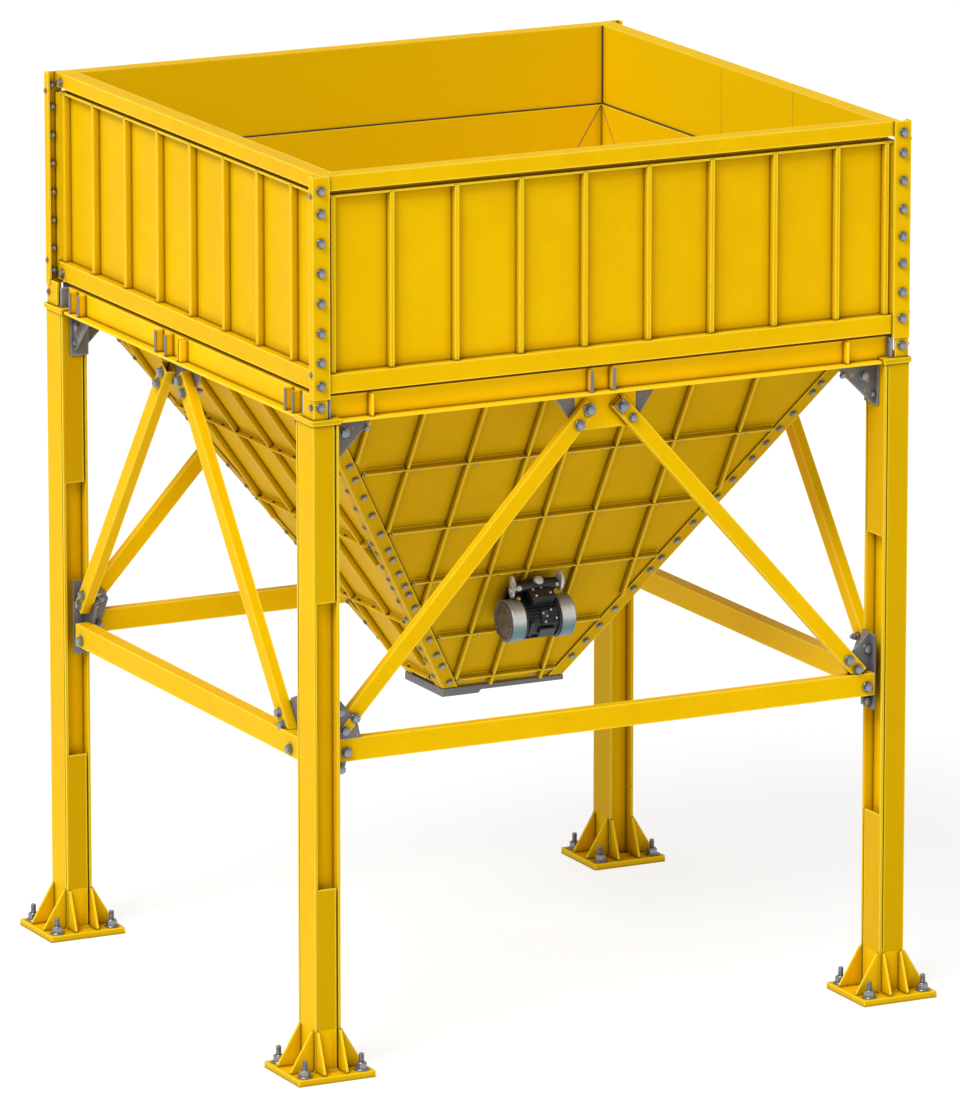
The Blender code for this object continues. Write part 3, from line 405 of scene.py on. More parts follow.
for name, ob in NODES.items():
    if name.startswith("ring_beam"):
        m = bpy.data.materials.get("ring_" + ("x" if name.endswith(("front", "back")) else "y"))
        if m is None:
            # painted light: tone 1.17 paints the ring beams a paler yellow than the frame, lifting the shade that
            # falls on their webs under the bin
            m = paint("ring_" + ("x" if name.endswith(("front", "back")) else "y"),
                      ring_region(name.endswith(("front", "back"))), tone=1.17, ao_reach=0.03)
        s = "yellow_paint"
    elif name.startswith("column"):
        m = bpy.data.materials.get("column_paint") or paint("column_paint", column_region, shade=column_painted_shade)
        s = "yellow_paint"
    elif name.startswith("tie_gusset"):
        m, s = PRIMER, "grey_steel"
    elif name == "outlet_flange":
        m, s = PRIMER_CLEAN, "grey_steel"
    elif name == "motor_body":
        m, s = BLACK, "black_paint"
    elif name.startswith("motor_cover"):
        m, s = COVER_PAINTED_REFLECTION, "bright_steel"
    elif name in ("hopper_panel_left", "hopper_panel_right"):
        m, s = PAINT_HOPPER_SIDE_SHADED, "yellow_paint"
    elif name.startswith("hopper"):
        m, s = PAINT_HOPPER_SHADED, "yellow_paint"
    elif name.startswith("wall"):
        m, s = bpy.data.materials.get("wall_paint") or wall_paint("wall_paint"), "yellow_paint"
    else:
        m, s = PAINT, "yellow_paint"
    ob.data.materials.clear()
    ob.data.materials.append(m)


# ----------------------------------------------------------------------------
# mesh helpers
# ----------------------------------------------------------------------------
def frame_of(origin, u, v):
    u = Vector(u).normalized()
    v = Vector(v)
    v = (v - u * v.dot(u)).normalized()
    w = u.cross(v)
    m = Matrix.Identity(4)
    for i in range(3):
        m[i][0], m[i][1], m[i][2], m[i][3] = u[i], v[i], w[i], origin[i]
    return m


def axis_frame(pos, axis, turn=0.0):
    """Local +Z along axis at pos."""
    axis = Vector(axis).normalized()
    ref = Vector((0, 0, 1)) if abs(axis.z) < 0.9 else Vector((1, 0, 0))
    u = ref.cross(axis).normalized()
    v = axis.cross(u)
    m = Matrix.Identity(4)
    for i in range(3):
        m[i][0], m[i][1], m[i][2], m[i][3] = u[i], v[i], axis[i], pos[i]
    return m @ Matrix.Rotation(turn, 4, "Z")


def turned(bm, mat, profile, segs):
    """A closed turned form from (radius, height) points, both ends on the axis."""
    rings = []
    for r, h in profile:
        if r < 1e-7:
            rings.append([bm.verts.new(mat @ Vector((0, 0, h)))])
        else:
            rings.append([bm.verts.new(mat @ Vector((r * math.cos(2 * math.pi * k / segs),
                                                     r * math.sin(2 * math.pi * k / segs), h)))
                          for k in range(segs)])
    for a, b in zip(rings, rings[1:]):
        if len(a) == 1 and len(b) == 1:
            continue
        for k in range(segs):
            k2 = (k + 1) % segs
            if len(a) == 1:
                bm.faces.new((a[0], b[k], b[k2]))
            elif len(b) == 1:
                bm.faces.new((a[k], b[0], a[k2]))
            else:
                bm.faces.new((a[k], b[k], b[k2], a[k2]))


def slab(bm, mat, x, y, z, bevel=0.0):
    """A box between limits in a local frame, with chamfered edges."""
    lo = Vector((min(x), min(y), min(z)))
    hi = Vector((max(x), max(y), max(z)))
    res = bmesh.ops.create_cube(bm, size=1.0, matrix=mat @ Matrix.Translation((lo + hi) / 2)
                                @ Matrix.Diagonal((*(hi - lo), 1.0)))
    if bevel:
        edges = list({e for v in res["verts"] for e in v.link_edges})
        bmesh.ops.bevel(bm, geom=edges, offset=bevel, segments=1, affect="EDGES", profile=0.5)


def prism(bm, mat, outline, z0, z1, bevel=0.0):
    """An outline in the local XY plane, extruded, with chamfered rims."""
    lo = [bm.verts.new(mat @ Vector((x, y, z0))) for x, y in outline]
    hi = [bm.verts.new(mat @ Vector((x, y, z1))) for x, y in outline]
    n = len(outline)
    faces = [bm.faces.new(lo[::-1]), bm.faces.new(hi)]
    for k in range(n):
        faces.append(bm.faces.new((lo[k], lo[(k + 1) % n], hi[(k + 1) % n], hi[k])))
    if bevel:
        edges = list({e for f in faces[:2] for e in f.edges})
        bmesh.ops.bevel(bm, geom=edges, offset=bevel, segments=1, affect="EDGES", profile=0.5)


def hexagon(af, turn=0.0):
    r = af / 2 / math.cos(math.pi / 6)
    return [(r * math.cos(math.pi / 3 * k + turn), r * math.sin(math.pi / 3 * k + turn)) for k in range(6)]


def hex_head(bm, mat, af, z0, z1, dome=0.12):
    """A hexagon with a turned chamfer on its free end."""
    r = af / 2 / math.cos(math.pi / 6)
    ch = af * 0.07
    rim = hexagon(af)
    low = [bm.verts.new(mat @ Vector((x, y, z0))) for x, y in rim]
    mid = []
    for k in range(6):
        a0, a1 = rim[k], rim[(k + 1) % 6]
        mid.append(bm.verts.new(mat @ Vector((a0[0], a0[1], z1 - ch * 0.9))))
        mid.append(bm.verts.new(mat @ Vector(((a0[0] + a1[0]) / 2, (a0[1] + a1[1]) / 2, z1 - ch * 0.25))))
    top = []
    for k in range(12):
        t = math.pi / 6 * k
        top.append(bm.verts.new(mat @ Vector((af * 0.455 * math.cos(t), af * 0.455 * math.sin(t), z1))))
    crown = bm.verts.new(mat @ Vector((0, 0, z1 + af * dome * 0.25)))
    bm.faces.new(low[::-1])
    for k in range(6):
        a, b = low[k], low[(k + 1) % 6]
        bm.faces.new((a, b, mid[(2 * k + 2) % 12], mid[2 * k + 1], mid[2 * k]))
    for k in range(12):
        bm.faces.new((mid[k], mid[(k + 1) % 12], top[(k + 1) % 12], top[k]))
        bm.faces.new((top[k], top[(k + 1) % 12], crown))


def washer(bm, mat, r, z0, z1, segs=20):
    ch = (z1 - z0) * 0.3
    turned(bm, mat, [(0, z0), (r, z0), (r, z1 - ch), (r - ch, z1), (0, z1)], segs)


def bolt(bm, pos, axis, af=0.036, turn=0.3, square=False):
    """Hex bolt head with its washer, standing on pos."""
    m = axis_frame(pos, axis, turn)
    t = af * 0.13
    if square:
        h = af * 0.72
        prism(bm, m, [(-h, -h), (h, -h), (h, h), (-h, h)], 0.0, t * 1.4, af * 0.04)
        t *= 1.4
    else:
        washer(bm, m, af * 0.68, 0.0, t)
    hex_head(bm, m, af, t, t + af * 0.50)


def nut(bm, pos, axis, af=0.030, turn=0.1, stud=0.35):
    """Nut on a washer with the bolt's end standing out of it."""
    m = axis_frame(pos, axis, turn)
    t = af * 0.12
    washer(bm, m, af * 0.66, 0.0, t)
    hex_head(bm, m, af, t, t + af * 0.62)
    r = af * 0.32
    z0 = t + af * 0.60
    turned(bm, m, [(0, z0), (r, z0), (r, z0 + af * stud), (r * 0.8, z0 + af * (stud + 0.08)), (0, z0 + af * (stud + 0.08))], 14)


def thread(bm, m, r, z0, z1, pitch, segs=16):
    """A studded end with cut rings and a rounded tip."""
    prof = [(0, z0), (r, z0)]
    z = z0
    while z + pitch < z1 - r * 0.5:
        prof += [(r, z + pitch * 0.15), (r * 0.86, z + pitch * 0.5), (r, z + pitch * 0.85)]
        z += pitch
    prof += [(r, z1 - r * 0.55), (r * 0.92, z1 - r * 0.25), (r * 0.62, z1 - r * 0.06), (0, z1)]
    turned(bm, m, prof, segs)


def anchor(bm, pos, turn):
    """Foundation bolt: plate washer, nut, lock nut and stud."""
    m = axis_frame(pos, (0, 0, 1), turn)
    turned(bm, m, [(0, 0), (0.0325, 0), (0.0325, 0.004), (0.031, 0.0065), (0.024, 0.0075), (0, 0.0075)], 28)
    hex_head(bm, m, 0.046, 0.0070, 0.0330, 0.05)
    turned(bm, m, [(0, 0.0325), (0.0205, 0.0325), (0.0205, 0.0345), (0.019, 0.0365), (0, 0.0365)], 22)
    thread(bm, m, 0.0120, 0.0360, 0.0790, 0.0036)


def piece(name, bm, mat, smooth=None):
    bmesh.ops.recalc_face_normals(bm, faces=bm.faces[:])
    me = bpy.data.meshes.new(name)
    bm.to_mesh(me)
    bm.free()
    if smooth:
        me.shade_smooth()
        me.set_sharp_from_angle(angle=math.radians(smooth))
    me.materials.append(mat)
    ob = bpy.data.objects.new(name, me)
    bpy.context.scene.collection.objects.link(ob)
    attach(ob, "root")
    return ob


def corner_name(sx, sy):
    return ("front" if sy < 0 else "back") + ("_left" if sx < 0 else "_right")


# ----------------------------------------------------------------------------
# bolts of the corner posts: heads outside, nuts in the gap beside the side walls
# ----------------------------------------------------------------------------
POST_Z = {-1: (4.036, 3.936, 3.803, 3.669, 3.534, 3.401, 3.268, 3.163),
          1: (4.046, 3.953, 3.826, 3.695, 3.570, 3.445, 3.312, 3.192)}
for i, (sx, sy) in enumerate(CORNERS):
    bm = bmesh.new()
    for k, z in enumerate(POST_Z[sx]):
        turn = 0.35 * k + 0.2 * i
        bolt(bm, (sx * 1.4600, sy * HY, z), (0, sy, 0), 0.030, turn)
        nut(bm, (sx * 1.4700, sy * (HY - 0.010), z), (0, -sy, 0), 0.024, turn)
    for z, af in ((4.058, 0.030), (4.014, 0.015), (3.158, 0.030), (3.214, 0.015)):
        if af > 0.02:
            bolt(bm, (sx * (HX - 0.0500), sy * (HY - 0.078), z), (sx, 0, 0), af, 0.2)
        else:
            bolt(bm, (sx * HX, sy * (HY - 0.0185), z), (sx, 0, 0), af, 0.2)
    # the stub on the column's cap
    bolt(bm, (sx * 1.4620, sy * (HY - 0.0035), 3.066), (0, sy, 0), 0.032, 0.4)
    bolt(bm, (sx * (HX - 0.0035), sy * 1.4000, 3.066), (sx, 0, 0), 0.019, 0.7)
    nut(bm, (sx * 1.4620, sy * (HY - 0.0135), 3.066), (0, -sy, 0), 0.028, 0.3)
    piece("post_bolts_" + corner_name(sx, sy), bm, BOLT, 30)

# ----------------------------------------------------------------------------
# anchor bolts
# ----------------------------------------------------------------------------
for i, (sx, sy) in enumerate(CORNERS):
    bm = bmesh.new()
    cx, cy = sx * (HX - COL_X / 2), sy * (HY - COL_Y / 2)
    for k, (ax, ay) in enumerate(((-1, -1), (1, -1), (-1, 1), (1, 1))):
        anchor(bm, (cx + ax * 0.140, cy + ay * 0.136, BASE_T), 0.4 * k + 0.3 * i)
    piece("anchor_bolts_" + corner_name(sx, sy), bm, ANCHOR, 30)

# ----------------------------------------------------------------------------
# ring beam: web stiffeners, grey on the outer edge
# ----------------------------------------------------------------------------
bm_grey, bm_yel = bmesh.new(), bmesh.new()
I4 = Matrix.Identity(4)
for s in (-1, 1):
    for x, grey in ((-0.115, True), (-0.004, True)):
        slab(bm_yel, I4, (x - 0.005, x + 0.005), (s * (HY - 0.010), s * (HY - 0.0495)), (3.0003, 3.1022), 0.0010)
        if grey:
            slab(bm_grey, I4, (x - 0.008, x + 0.008), (s * (HY - 0.0055), s * (HY - 0.0098)), (3.0005, 3.1020), 0.0010)
    for y, grey in ((1.180, True), (1.090, True), (0.241, True), (0.135, True), (0.010, False), (-1.120, True), (-1.200, True)):
        slab(bm_yel, I4, (s * (HX - 0.010), s * (HX - 0.0495)), (y - 0.005, y + 0.005), (3.0003, 3.1022), 0.0010)
        if grey:
            slab(bm_grey, I4, (s * (HX - 0.0055), s * (HX - 0.0098)), (y - 0.009, y + 0.009), (3.0005, 3.1020), 0.0010)
piece("ring_stiffener_edges", bm_grey, PRIMER)
piece("ring_stiffeners", bm_yel, PAINT_BOLD)

# ----------------------------------------------------------------------------
# bolts of braces, ties, knees and gussets
# ----------------------------------------------------------------------------
BRACE_Y = 1.3648     # outer face of the front and back braces
BRACE_X = 1.4528     # outer face of the side braces
TIE_Y, TIE_X = 1.3725, 1.4725
GUS_Y, GUS_X = 1.3222, 1.4022        # outer faces of the inner gusset plates
GUS_T = 0.008
for sy in (-1, 1):
    side = "front" if sy < 0 else "back"
    bm = bmesh.new()
    for k, (x, z) in enumerate(((-0.100, 2.911), (-0.150, 2.845))):
        bolt(bm, (x, sy * BRACE_Y, z), (0, sy, 0), 0.036, 0.2 + 0.5 * k, square=(k == 0))
    bolt(bm, (0.066, sy * BRACE_Y, 2.911), (0, sy, 0), 0.036, 0.75, square=True)
    bolt(bm, (0.118, sy * BRACE_Y, 2.853), (0, sy, 0), 0.030, 0.4)
    # feet of the braces
    if sy < 0:
        face = HY - 0.0509               # outer face of the plate in front of the brace
        for x, z in ((-1.352, 1.663), (-1.275, 1.626), (-1.328, 1.574), (-1.349, 1.400)):
            bolt(bm, (x, -face, z), (0, -1, 0), 0.034, 0.3)
    else:
        for x, z in ((-1.252, 1.668), (-1.302, 1.614)):
            bolt(bm, (x, BRACE_Y, z), (0, 1, 0), 0.034, 0.3)
        bolt(bm, (-1.353, GUS_Y, 1.400), (0, 1, 0), 0.034, 0.3)
        bolt(bm, (-1.352, GUS_Y, 1.640), (0, 1, 0), 0.034, 0.3)
    for x, z in ((1.236, 1.607), (1.281, 1.560)):
        bolt(bm, (x, sy * BRACE_Y, z), (0, sy, 0), 0.034, 0.5)
    bolt(bm, (1.352, sy * GUS_Y, 1.640), (0, sy, 0), 0.034, 0.5)
    bolt(bm, (1.352, sy * GUS_Y, 1.396), (0, sy, 0), 0.034, 0.1)
    for x in (-1.318, 1.328):
        bolt(bm, (x, sy * TIE_Y, 1.474), (0, sy, 0), 0.036, 0.4)
    # nuts on the inner faces of the gusset plates
    for x, z in ((-1.294, 1.595), (-1.322, 1.562), (-1.300, 1.476), (1.281, 1.560), (1.236, 1.607), (1.328, 1.474)):
        if sy < 0 and x < 0:
            continue
        nut(bm, (x, sy * (GUS_Y - GUS_T), z), (0, -sy, 0), 0.030, 0.2)
    # nuts of the brace heads on the centre gusset
    for x, z in ((-0.100, 2.911), (-0.150, 2.845), (0.066, 2.911), (0.118, 2.853)):
        nut(bm, (x, sy * (GUS_Y - GUS_T - 0.0003), z), (0, -sy, 0), 0.030, 0.2)
    for x in (-1.311, 1.311):
        bolt(bm, (x, sy * (HY - 0.082), 2.924), (0, sy, 0), 0.036, 0.35)
        bolt(bm, (x * 0.915, sy * (HY - 0.082), 2.935), (0, sy, 0), 0.022, 0.2)
        bolt(bm, (x * 1.035, sy * (HY - 0.082), 2.835), (0, sy, 0), 0.022, 0.2)
    piece("frame_bolts_" + side, bm, BOLT, 30)

for sx in (-1, 1):
    side = "left" if sx < 0 else "right"
    bm = bmesh.new()
    tops = ((0.257, 2.902), (0.300, 2.843), (0.061, 2.898), (0.024, 2.850))
    feet = ((-0.965, 1.578), (-1.003, 1.530), (1.150, 1.663), (1.190, 1.610))
    if sx > 0:
        tops = ((0.032, 2.896), (0.075, 2.838), (-0.152, 2.896), (-0.194, 2.840))
        feet = ((-1.150, 1.656), (-1.189, 1.608), (1.150, 1.661), (1.190, 1.608))
    for k, (y, z) in enumerate(tops + feet):
        bolt(bm, (sx * BRACE_X, y, z), (sx, 0, 0), 0.036 if k < 4 else 0.034, 0.3 * k)
        nut(bm, (sx * (GUS_X - GUS_T - (0.0005 if k < 4 else 0.0)), y, z), (-sx, 0, 0), 0.030, 0.3 * k)
    for y in (-1.120, 1.130):
        bolt(bm, (sx * TIE_X, y, 1.450), (sx, 0, 0), 0.036, 0.6)
    for y in (-1.1995, 1.1995):
        bolt(bm, (sx * GUS_X, y, 1.392), (sx, 0, 0), 0.032, 0.2)
        bolt(bm, (sx * GUS_X, y * 1.006, 1.655), (sx, 0, 0), 0.032, 0.2)
        bolt(bm, (sx * (HX - 0.058), y * 0.993, 2.930), (sx, 0, 0), 0.034, 0.4)
        bolt(bm, (sx * (HX - 0.058), y * 1.020, 2.850), (sx, 0, 0), 0.022, 0.4)
    piece("frame_bolts_" + side, bm, BOLT, 30)

# strap over the front left plate, the end of the brace that shows through it
bm = bmesh.new()
m = frame_of((-1.3020, -(HY - 0.0509), 1.6005), (0.680, 0, 0.733), (-0.733, 0, 0.680))
slab(bm, m, (-0.034, 0.020), (-0.024, 0.024), (-0.0002, 0.0035), 0.001)
piece("brace_tongue_front_left", bm, PAINT_BOLD)


# ----------------------------------------------------------------------------
# pyramid hopper: bolts of the corner angles, of the bands, and slots
# ----------------------------------------------------------------------------
def corner_point(sx, sy, z):
    f = (z - PYR_BOT_Z) / (PYR_TOP_Z - PYR_BOT_Z)
    x0, y0 = OUT_CX + sx * OUT_HX, sy * OUT_HY
    return Vector((x0 + (sx * PYR_TOP_X - x0) * f, y0 + (sy * PYR_TOP_Y - y0) * f, z))


def panel_frame(side):
    a, b = {"front": ((-1, -1), (1, -1)), "back": ((1, 1), (-1, 1)),
            "left": ((-1, 1), (-1, -1)), "right": ((1, -1), (1, 1))}[side]
    p0, p1 = corner_point(*a, PYR_BOT_Z), corner_point(*b, PYR_BOT_Z)
    q0 = corner_point(*a, PYR_TOP_Z)
    u = (p1 - p0).normalized()
    m = frame_of(p0 - u * p0.dot(u), u, q0 - p0)
    return m, a, b


def direction(m, k):
    return Vector((m[0][k], m[1][k], m[2][k]))


for side in ("front", "back", "left", "right"):
    m, a, b = panel_frame(side)
    out = direction(m, 2)
    wide = side in ("front", "back")
    bands = FRONT_BANDS if wide else SIDE_BANDS
    if side == "front":
        us = FRONT_HRIBS
    elif side == "back":
        us = [-x for x in FRONT_HRIBS]
    else:
        us = SIDE_HRIBS
    sin_s = m[2][1]
    inv = m.inverted()
    a0, a1 = inv @ corner_point(*a, PYR_BOT_Z), inv @ corner_point(*a, PYR_TOP_Z)
    b0, b1 = inv @ corner_point(*b, PYR_BOT_Z), inv @ corner_point(*b, PYR_TOP_Z)
    la, lb = (a1.x - a0.x) / (a1.y - a0.y), (b1.x - b0.x) / (b1.y - b0.y)
    bm, bm_slot = bmesh.new(), bmesh.new()
    for z in bands:
        v = (z - PYR_BOT_Z) / sin_s
        ua = a0.x + la * v + 0.085 * math.sqrt(1 + la * la)
        ub = b0.x + lb * v - 0.085 * math.sqrt(1 + lb * lb)
        spots = []
        for c in us:
            spots += [c - 0.050, c + 0.052]
        spots += [ua + 0.012, ub - 0.012]
        for k, c in enumerate(sorted(spots)):
            if ua <= c <= ub:
                bolt(bm, m @ Vector((c, v - 0.0195, 0.0060)), out, 0.015, 0.2 * k)
        if not wide:
            # long holes in the standing leg of the side bands, seen from above, drawn as thin near-black patches:
            # painted shade in place of the open holes
            c = ua + 0.06
            while c < ub - 0.06:
                rr, hl = 0.0045, 0.012
                pts = [(c + hl + rr * math.cos(t), 0.0165 + rr * math.sin(t)) for t in [math.pi * (q / 6 - 0.5) for q in range(7)]]
                pts += [(c - hl + rr * math.cos(t), 0.0165 + rr * math.sin(t)) for t in [math.pi * (q / 6 + 0.5) for q in range(7)]]
                mm = frame_of(m @ Vector((0, v + 0.0030, 0)), direction(m, 0), out)
                prism(bm_slot, mm, pts, -0.0004, 0.0004)
                mm = frame_of(m @ Vector((0, v - 0.0030, 0)), direction(m, 0), out)
                prism(bm_slot, mm, pts, -0.0004, 0.0004)
                c += 0.150
    piece("band_bolts_" + side, bm, BOLT, 30)
    if wide:
        bm_slot.free()
    else:
        piece("band_slots_" + side, bm_slot, HOLE_SHADE)

NEAR_V = (0.035, 0.165, 0.256, 0.383, 0.500, 0.638, 0.743, 0.811, 0.910, 1.021, 1.095, 1.224, 1.370, 1.508, 1.648, 1.748, 1.880, 1.990)
FAR_V = (0.120, 0.224, 0.324, 0.436, 0.574, 0.695, 0.777, 0.892, 1.009, 1.095, 1.183, 1.296, 1.435, 1.537, 1.631, 1.729, 1.869, 1.930)
for i, (sx, sy) in enumerate(CORNERS):
    bm = bmesh.new()
    fside, sside = ("front" if sy < 0 else "back"), ("left" if sx < 0 else "right")
    mf, ms = panel_frame(fside)[0], panel_frame(sside)[0]
    nf, ns = direction(mf, 2), direction(ms, 2)
    p0, p1 = corner_point(sx, sy, PYR_BOT_Z), corner_point(sx, sy, PYR_TOP_Z)
    e = (p1 - p0).normalized()
    df = e.cross(nf)
    if df.x * -sx < 0:
        df = -df
    ds = e.cross(ns)
    if ds.y * -sy < 0:
        ds = -ds
    runs = NEAR_V if sx < 0 else FAR_V
    top = (2.935 - PYR_BOT_Z) / e.z
    for k, t in enumerate(runs):
        if t < top:
            bolt(bm, p0 + e * t + df * 0.034 + nf * 0.0083, nf, 0.021, 0.4 * k)
            bolt(bm, p0 + e * (t + 0.045) + ds * 0.034 + ns * 0.0083, ns, 0.017, 0.4 * k)
    piece("corner_angle_bolts_" + corner_name(sx, sy), bm, BOLT, 30)

# weld beads where the bands meet the plates are painted over
bm = bmesh.new()
for side in ("front", "back", "left", "right"):
    m, a, b = panel_frame(side)
    sin_s = m[2][1]
    inv = m.inverted()
    a0, a1 = inv @ corner_point(*a, PYR_BOT_Z), inv @ corner_point(*a, PYR_TOP_Z)
    b0, b1 = inv @ corner_point(*b, PYR_BOT_Z), inv @ corner_point(*b, PYR_TOP_Z)
    la, lb = (a1.x - a0.x) / (a1.y - a0.y), (b1.x - b0.x) / (b1.y - b0.y)
    for z in (FRONT_BANDS if side in ("front", "back") else SIDE_BANDS):
        v = (z - PYR_BOT_Z) / sin_s
        ua = a0.x + la * v + 0.070 * math.sqrt(1 + la * la)
        ub = b0.x + lb * v - 0.070 * math.sqrt(1 + lb * lb)
        prism(bm, m @ Matrix.Translation((0, 0, 0)) @ Matrix.Rotation(math.radians(90), 4, "Y"),
              [(-0.0002, v + 0.0028), (-0.0050, v + 0.0028), (-0.0002, v + 0.0085)], ua, ub)
piece("band_welds", bm, PAINT_BOLD)

# ----------------------------------------------------------------------------
# wear liner: open joint along its top, corner seams and joints of its plates
# ----------------------------------------------------------------------------
LX, LY = 1.3550, 1.3197          # inner faces of the liner
bm = bmesh.new()
for s in (-1, 1):
    slab(bm, I4, (-1.352, 1.352), (s * (LY + 0.0086), s * (LY + 0.0100)), (3.7203, 3.7268))
    slab(bm, I4, (s * (LX + 0.0086), s * (LX + 0.0100)), (-1.325, 1.325), (3.7203, 3.7268))
    for t in (-1, 1):
        # upright joint in the corner
        slab(bm, I4, (t * (LX + 0.0035), t * (LX + 0.0100)), (s * (LY + 0.0086), s * (LY + 0.0100)), (3.7270, 4.0950))
        # slanting seams of the corner plates
        m = frame_of((t * 1.3500, s * LY, 3.7150), (-t * 0.545, 0, -0.838), (t * 0.838, 0, -0.545))
        slab(bm, m, (0.0, 0.560), (-0.0014, 0.0014), (-0.0008, 0.0008))
        m = frame_of((t * LX, s * 1.3240, 3.7150), (0, -s * 0.640, -0.768), (0, s * 0.768, -0.640))
        slab(bm, m, (0.0, 0.540), (-0.0014, 0.0014), (-0.0008, 0.0008))
piece("liner_seams", bm, SEAM)
bm = bmesh.new()
for s in (-1, 1):
    for y in (-0.550, 0.140):
        slab(bm, I4, (s * (LX + 0.0088), s * (LX + 0.0105)), (y - 0.002, y + 0.002), (3.728, 4.092), 0.0006)
piece("liner_joints", bm, PAINT_BOLD)

# ----------------------------------------------------------------------------
# base plates: fillet welds round the columns' feet
# ----------------------------------------------------------------------------
bm = bmesh.new()
for sx, sy in CORNERS:
    cx, cy = sx * (HX - COL_X / 2), sy * (HY - COL_Y / 2)
    hx, hy = COL_X / 2, COL_Y / 2
    for d in (-1, 1):
        m = Matrix.Translation((cx, cy + d * hy, BASE_T)) @ Matrix.Rotation(math.radians(90), 4, "Y")
        prism(bm, m, [(0.0, 0.0), (-0.008, 0.0), (0.0, d * 0.008)], -hx, hx)
        m = Matrix.Translation((cx + d * hx, cy, BASE_T)) @ Matrix.Rotation(math.radians(-90), 4, "X")
        prism(bm, m, [(0.0, 0.0), (0.0, -0.008), (d * 0.008, 0.0)], -hy, hy)
piece("base_welds", bm, PAINT_BOLD)

# ----------------------------------------------------------------------------
# vibrator motor
# ----------------------------------------------------------------------------
M_U, M_V, M_W = 0.0254, 0.5475, 0.146
mf = panel_frame("front")[0]
MO = mf @ Matrix.Translation((M_U, M_V, M_W))
AX = MO @ Matrix.Rotation(math.radians(90), 4, "Y")      # local +Z along the motor's axis, to the right

# cooling fins along the body, on both sides of the terminal box
bm = bmesh.new()
for k in range(36):
    t = math.radians(10 * k)
    if 55 < 10 * k < 115:
        continue
    mm = MO @ Matrix.Rotation(t, 4, "X")
    slab(bm, mm, (-0.086, 0.086), (0.079, 0.0925), (-0.0016, 0.0016), 0.0006)
piece("motor_fins", bm, BLACK)

# rings between the body and the covers, terminal box lid and the finned pad
bm = bmesh.new()
for a in (-1, 1):
    prof = [(0, 0.078), (0.091, 0.078), (0.0935, 0.080), (0.0935, 0.0895), (0.091, 0.0915), (0, 0.0915)]
    turned(bm, AX if a > 0 else AX @ Matrix.Rotation(math.pi, 4, "X"), prof, 56)
slab(bm, MO, (-0.054, 0.068), (0.126, 0.139), (-0.066, 0.012), 0.004)
slab(bm, MO, (-0.048, 0.062), (0.066, 0.128), (0.0055, 0.0150), 0.004)
pad = MO @ Matrix.Rotation(math.radians(45), 4, "X")
slab(bm, pad, (-0.012, 0.074), (0.076, 0.0930), (-0.036, 0.036), 0.004)
for k in range(7):
    slab(bm, pad, (0.026, 0.070), (0.0925, 0.0985), (-0.0320 + 0.0100 * k, -0.0285 + 0.0100 * k), 0.0006)
slab(bm, MO, (-0.070, -0.048), (-0.030, 0.055), (0.066, 0.088), 0.004)
piece("motor_housing_parts", bm, BLACK, 30)

# blank plates
bm = bmesh.new()
slab(bm, MO @ Matrix.Rotation(math.radians(4), 4, "X"), (-0.020, 0.060), (-0.028, 0.026), (0.0860, 0.0985), 0.0025)
slab(bm, pad, (-0.008, 0.022), (0.0925, 0.0965), (-0.030, 0.004), 0.0015)
piece("motor_blank_plates", bm, BLACK_SMOOTH)

# mounting bar above the motor
bm = bmesh.new()
mm = MO @ Matrix.Translation((0, 0.138, -0.066)) @ Matrix.Rotation(math.radians(90), 4, "Y")
turned(bm, mm, [(0, -0.112), (0.015, -0.112), (0.0175, -0.109), (0.0175, 0.109), (0.015, 0.112), (0, 0.112)], 24)
slab(bm, MO, (-0.034, 0.080), (0.132, 0.154), (-0.085, -0.050), 0.005)
piece("motor_mounting_bar", bm, BLACK_SMOOTH, 30)

# bright castings: lugs at both ends of the bar, boss on top, screws
bm = bmesh.new()


def lug(u0, u1, a0, a1, ra, rb):
    """A link plate across the motor's axis between two rounded ends, given as (v, w)."""
    d = Vector((a1[0] - a0[0], a1[1] - a0[1]))
    t0 = math.atan2(d.y, d.x)
    pts = [(a1[0] + rb * math.cos(t0 + math.pi * (k / 10 - 0.5)), a1[1] + rb * math.sin(t0 + math.pi * (k / 10 - 0.5))) for k in range(11)]
    pts += [(a0[0] + ra * math.cos(t0 + math.pi * (k / 10 + 0.5)), a0[1] + ra * math.sin(t0 + math.pi * (k / 10 + 0.5))) for k in range(11)]
    m = MO @ Matrix(((0, 0, 1, 0), (1, 0, 0, 0), (0, 1, 0, 0), (0, 0, 0, 1)))
    prism(bm, m, pts, u0, u1, 0.0025)


lug(-0.122, -0.110, (0.100, -0.066), (0.163, -0.104), 0.020, 0.014)
lug(-0.118, -0.106, (0.132, -0.080), (0.160, -0.108), 0.028, 0.010)
lug(0.106, 0.119, (0.140, -0.060), (0.166, -0.072), 0.030, 0.036)
for u, v, w, r in ((-0.122, 0.118, -0.074, 0.014), (0.119, 0.156, -0.066, 0.024)):
    mm = MO @ Matrix.Translation((u, v, w)) @ Matrix.Rotation(math.radians(90 if u > 0 else -90), 4, "Y")
    turned(bm, mm, [(0, -0.004), (r, -0.004), (r, 0.006), (r * 0.8, 0.010), (r * 0.45, 0.0115), (r * 0.40, 0.0060), (0, 0.0060)], 24)
for u, v, w, r in ((-0.100, 0.150, -0.050, 0.013), (0.094, 0.150, -0.050, 0.011)):
    turned(bm, axis_frame(MO @ Vector((u, v, w)), direction(MO, 1) + direction(MO, 2)), [(0, -0.006), (r, -0.006), (r, 0.004), (r * 0.7, 0.009), (0, 0.010)], 18)
